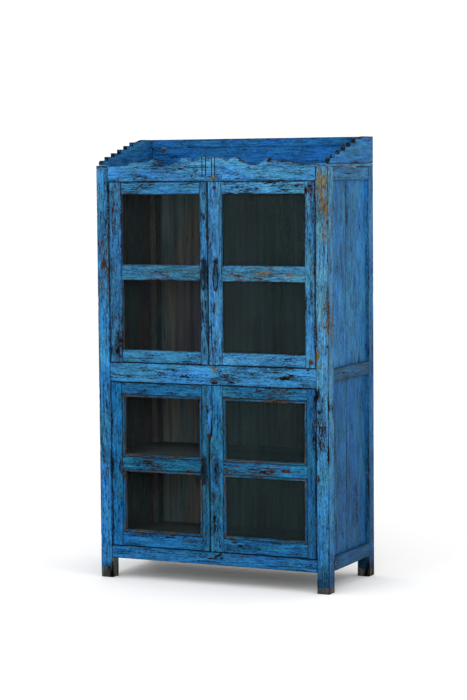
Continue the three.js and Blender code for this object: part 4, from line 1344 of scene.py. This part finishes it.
def eye(x, z):
    """The ring by which a loop hangs on its pin."""
    half = [(3.3, 2.5), (3.9, 2.7), (3.9, 4.1), (3.2, 4.75)]
    mirrored = [(-u, r) for u, r in half[::-1]]
    section = [mirrored[-2], mirrored[-1], *half, *mirrored[:-2]]
    angles = np.linspace(0, 2 * math.pi, 28, endpoint=False)
    loops = [[(x + u * MM, PIVOT_Y + r * MM * math.cos(t), z + r * MM * math.sin(t)) for u, r in section]
             for t in angles]
    return loft(loops, closed=True)


def loop(x, z, length):
    """The drop itself: a long ring of flattened bar, widest below its middle."""
    t = np.linspace(0, 2 * math.pi, 96, endpoint=False)
    high, low = z - 5 * MM, z - length + 3.2 * MM
    down = (1 - np.cos(t)) / 2
    wide = MM * 9.4 * np.sin(t) * (0.5 + 0.56 * smooth_step(0.08, 0.5, down))
    path = np.stack([x + wide, np.full(len(t), PIVOT_Y), high + (low - high) * down], axis=1)
    loops = tube_loops(path, 1.0, 14, True) - path[:, None]
    flat = (2.2 + 0.8 * down)[:, None] * MM
    loops = loops * np.stack([flat, np.full(flat.shape, 1.95 * MM), flat], axis=-1)
    return loft(path[:, None] + loops, closed=True)


# Turn buttons: place, lean in degrees, length, width, thickness and look.
BUTTONS = {
    "top_rail": (17.5, 1636.5, 35, 29, 10, 6, "tan"),
    "middle_rail_upper": (17, 877.5, -50, 37, 10, 6, "tan"),
    "middle_rail_lower": (16.5, 820, 82, 26, 9, 3, "iron"),
    "bottom_rail": (27, 124, 64, 36, 10, 3, "iron"),
}
HEAD_RADIUS, SHANK_RADIUS, SHANK_DEPTH, SLOT_HALF = 3.5 * MM, 2.1 * MM, 12 * MM, 0.55 * MM
WAIST = 0.92


def add_buttons():
    for number, (name, (x, z, lean, length, width, thick, material)) in enumerate(BUTTONS.items()):
        back = FRONT - 0.6 * MM
        front = back - thick * MM
        place = (x * MM, z * MM)
        lean = math.radians(lean)
        outline = stadium(length * MM, width * MM, lean)
        skins = [plate(outline, front + 0.2 * MM, back, place, dome=0.2 * MM)]
        head = ellipse(HEAD_RADIUS, HEAD_RADIUS, 24)
        skins.append(plate(head, front - 0.4 * MM, front + 0.8 * MM, place, 0.2 * MM))
        for side in (-1, 1):
            half = [(u, w) for u, w in head if side * u > SLOT_HALF]
            half.sort(key=lambda p: p[1])
            skins.append(half_head(half, front - 1.4 * MM, front - 0.3 * MM, place))
        shank = [(place[0], y, place[1]) for y in (back - MM, FRONT + SHANK_DEPTH)]
        skins.append(rounded_rod(*shank, SHANK_RADIUS, 12))
        skin = dented(together(*skins), 0.15 * MM, 6 * MM, 90 + number)
        node = f"{name}_turn_button"
        made = add_mesh(node, skin)
        slot = "tan_metal" if material == "tan" else "iron"
        finish_piece(made, node, slot, material, [node])


def half_head(outline, low, high, place):
    """One side of a screw's head, beside its slot."""
    centre_x, centre_z = np.mean(outline, axis=0)
    x, z = place[0] + centre_x, place[1] + centre_z
    levels = ((1, high), (1, low + 0.3 * MM), (0.85, low))
    return loft([[(x + (u - centre_x) * k, y, z + (w - centre_z) * k) for u, w in outline]
                 for k, y in levels])


def stadium(length, width, lean):
    """The outline of a button: round ends, leaning to the right of upright, and slightly waisted."""
    reach, radius = (length - width) / 2, width / 2
    outline = []
    for side, turn in ((1, 0), (-1, math.pi)):
        ends = np.linspace(turn, turn + math.pi, 14)
        outline += [(radius * math.cos(t), side * reach + radius * math.sin(t)) for t in ends]
        sides = np.linspace(side * reach, -side * reach, 7)[1:-1]
        outline += [(-side * radius * WAIST, v) for v in sides]
    cos, sin = math.cos(lean), math.sin(lean)
    return [(u * cos + v * sin, v * cos - u * sin) for u, v in outline]


NAIL_RADIUS, NAIL_LENGTH, NAIL_SUNK, NAIL_FROM_END = 2.6 * MM, 3 * MM, 0.15 * MM, 22 * MM
NAIL_SHARES = (0.22, 0.78)


def add_back_nails():
    """Nails through the ends of the back boards, flush with the outside."""
    heads = []
    for node in ("lower_back_panel", "upper_back_panel"):
        low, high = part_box(node)
        width = (high.x - low.x) / BACK_BOARDS
        for i in range(BACK_BOARDS):
            for across in NAIL_SHARES:
                for z in (low.z + NAIL_FROM_END, high.z - NAIL_FROM_END):
                    x = low.x + width * (i + across) + 4 * MM * noise(i, across * 9, z * 5, 3)
                    ends = [(x, high.y - depth, z) for depth in (NAIL_LENGTH, NAIL_SUNK)]
                    heads.append(rounded_rod(*ends, NAIL_RADIUS, 12, 0.4 * MM))
    made = add_mesh("back_nails", dented(together(*heads), 0.1 * MM, 3 * MM, 97))
    finish_piece(made, "cabinet", "iron", "iron")


# Surroundings.


def add_floor():
    corners = [(-30, -30, 0), (30, -30, 0), (30, 30, 0), (-30, 30, 0)]
    mesh = bpy.data.meshes.new("floor")
    mesh.from_pydata(corners, [], [(0, 1, 2, 3)])
    floor = bpy.data.objects.new("floor", mesh)
    bpy.context.scene.collection.objects.link(floor)
    material, tree = new_material("floor")
    inputs = {"Base Color": (0.95, 0.95, 0.95, 1), "Roughness": 0.9, "Specular IOR Level": 0.0}
    finish_material(tree, add_node(tree, "ShaderNodeBsdfPrincipled", inputs).outputs[0])
    floor.data.materials.append(material)


def add_light(name, place, aim, size, power):
    light = bpy.data.lights.new(name, "AREA")
    light.shape = "RECTANGLE"
    light.size, light.size_y = size
    light.energy = power
    made = bpy.data.objects.new(name, light)
    bpy.context.scene.collection.objects.link(made)
    made.location = place
    made.rotation_euler = (Vector(aim) - Vector(place)).to_track_quat("-Z", "Y").to_euler()


def add_lights():
    world = bpy.data.worlds.new("world")
    bpy.context.scene.world = world
    world.use_nodes = True
    background = world.node_tree.nodes["Background"]
    background.inputs["Color"].default_value = (1, 1, 1, 1)
    background.inputs["Strength"].default_value = 1.06
    add_light("key", (-1.2, -4.6, 4.6), (0, 0, 1.2), (2.6, 2.0), 60)
    add_light("fill", (2.4, -4.8, 2.0), (0, 0, 1.0), (1.6, 1.6), 48)
    add_light("side", (4.4, -1.6, 3.4), (0.4, 0, 1.2), (2.2, 2.2), 32)
    bpy.context.scene.view_settings.view_transform = "Standard"


add_floor()
add_lights()
add_posts()
add_front_rails()
add_sides()
add_flat_boards()
add_cleats()
add_top()
add_gallery()
add_doors()
add_cover_strip()
add_hinges()
add_pulls()
add_buttons()
add_back_nails()
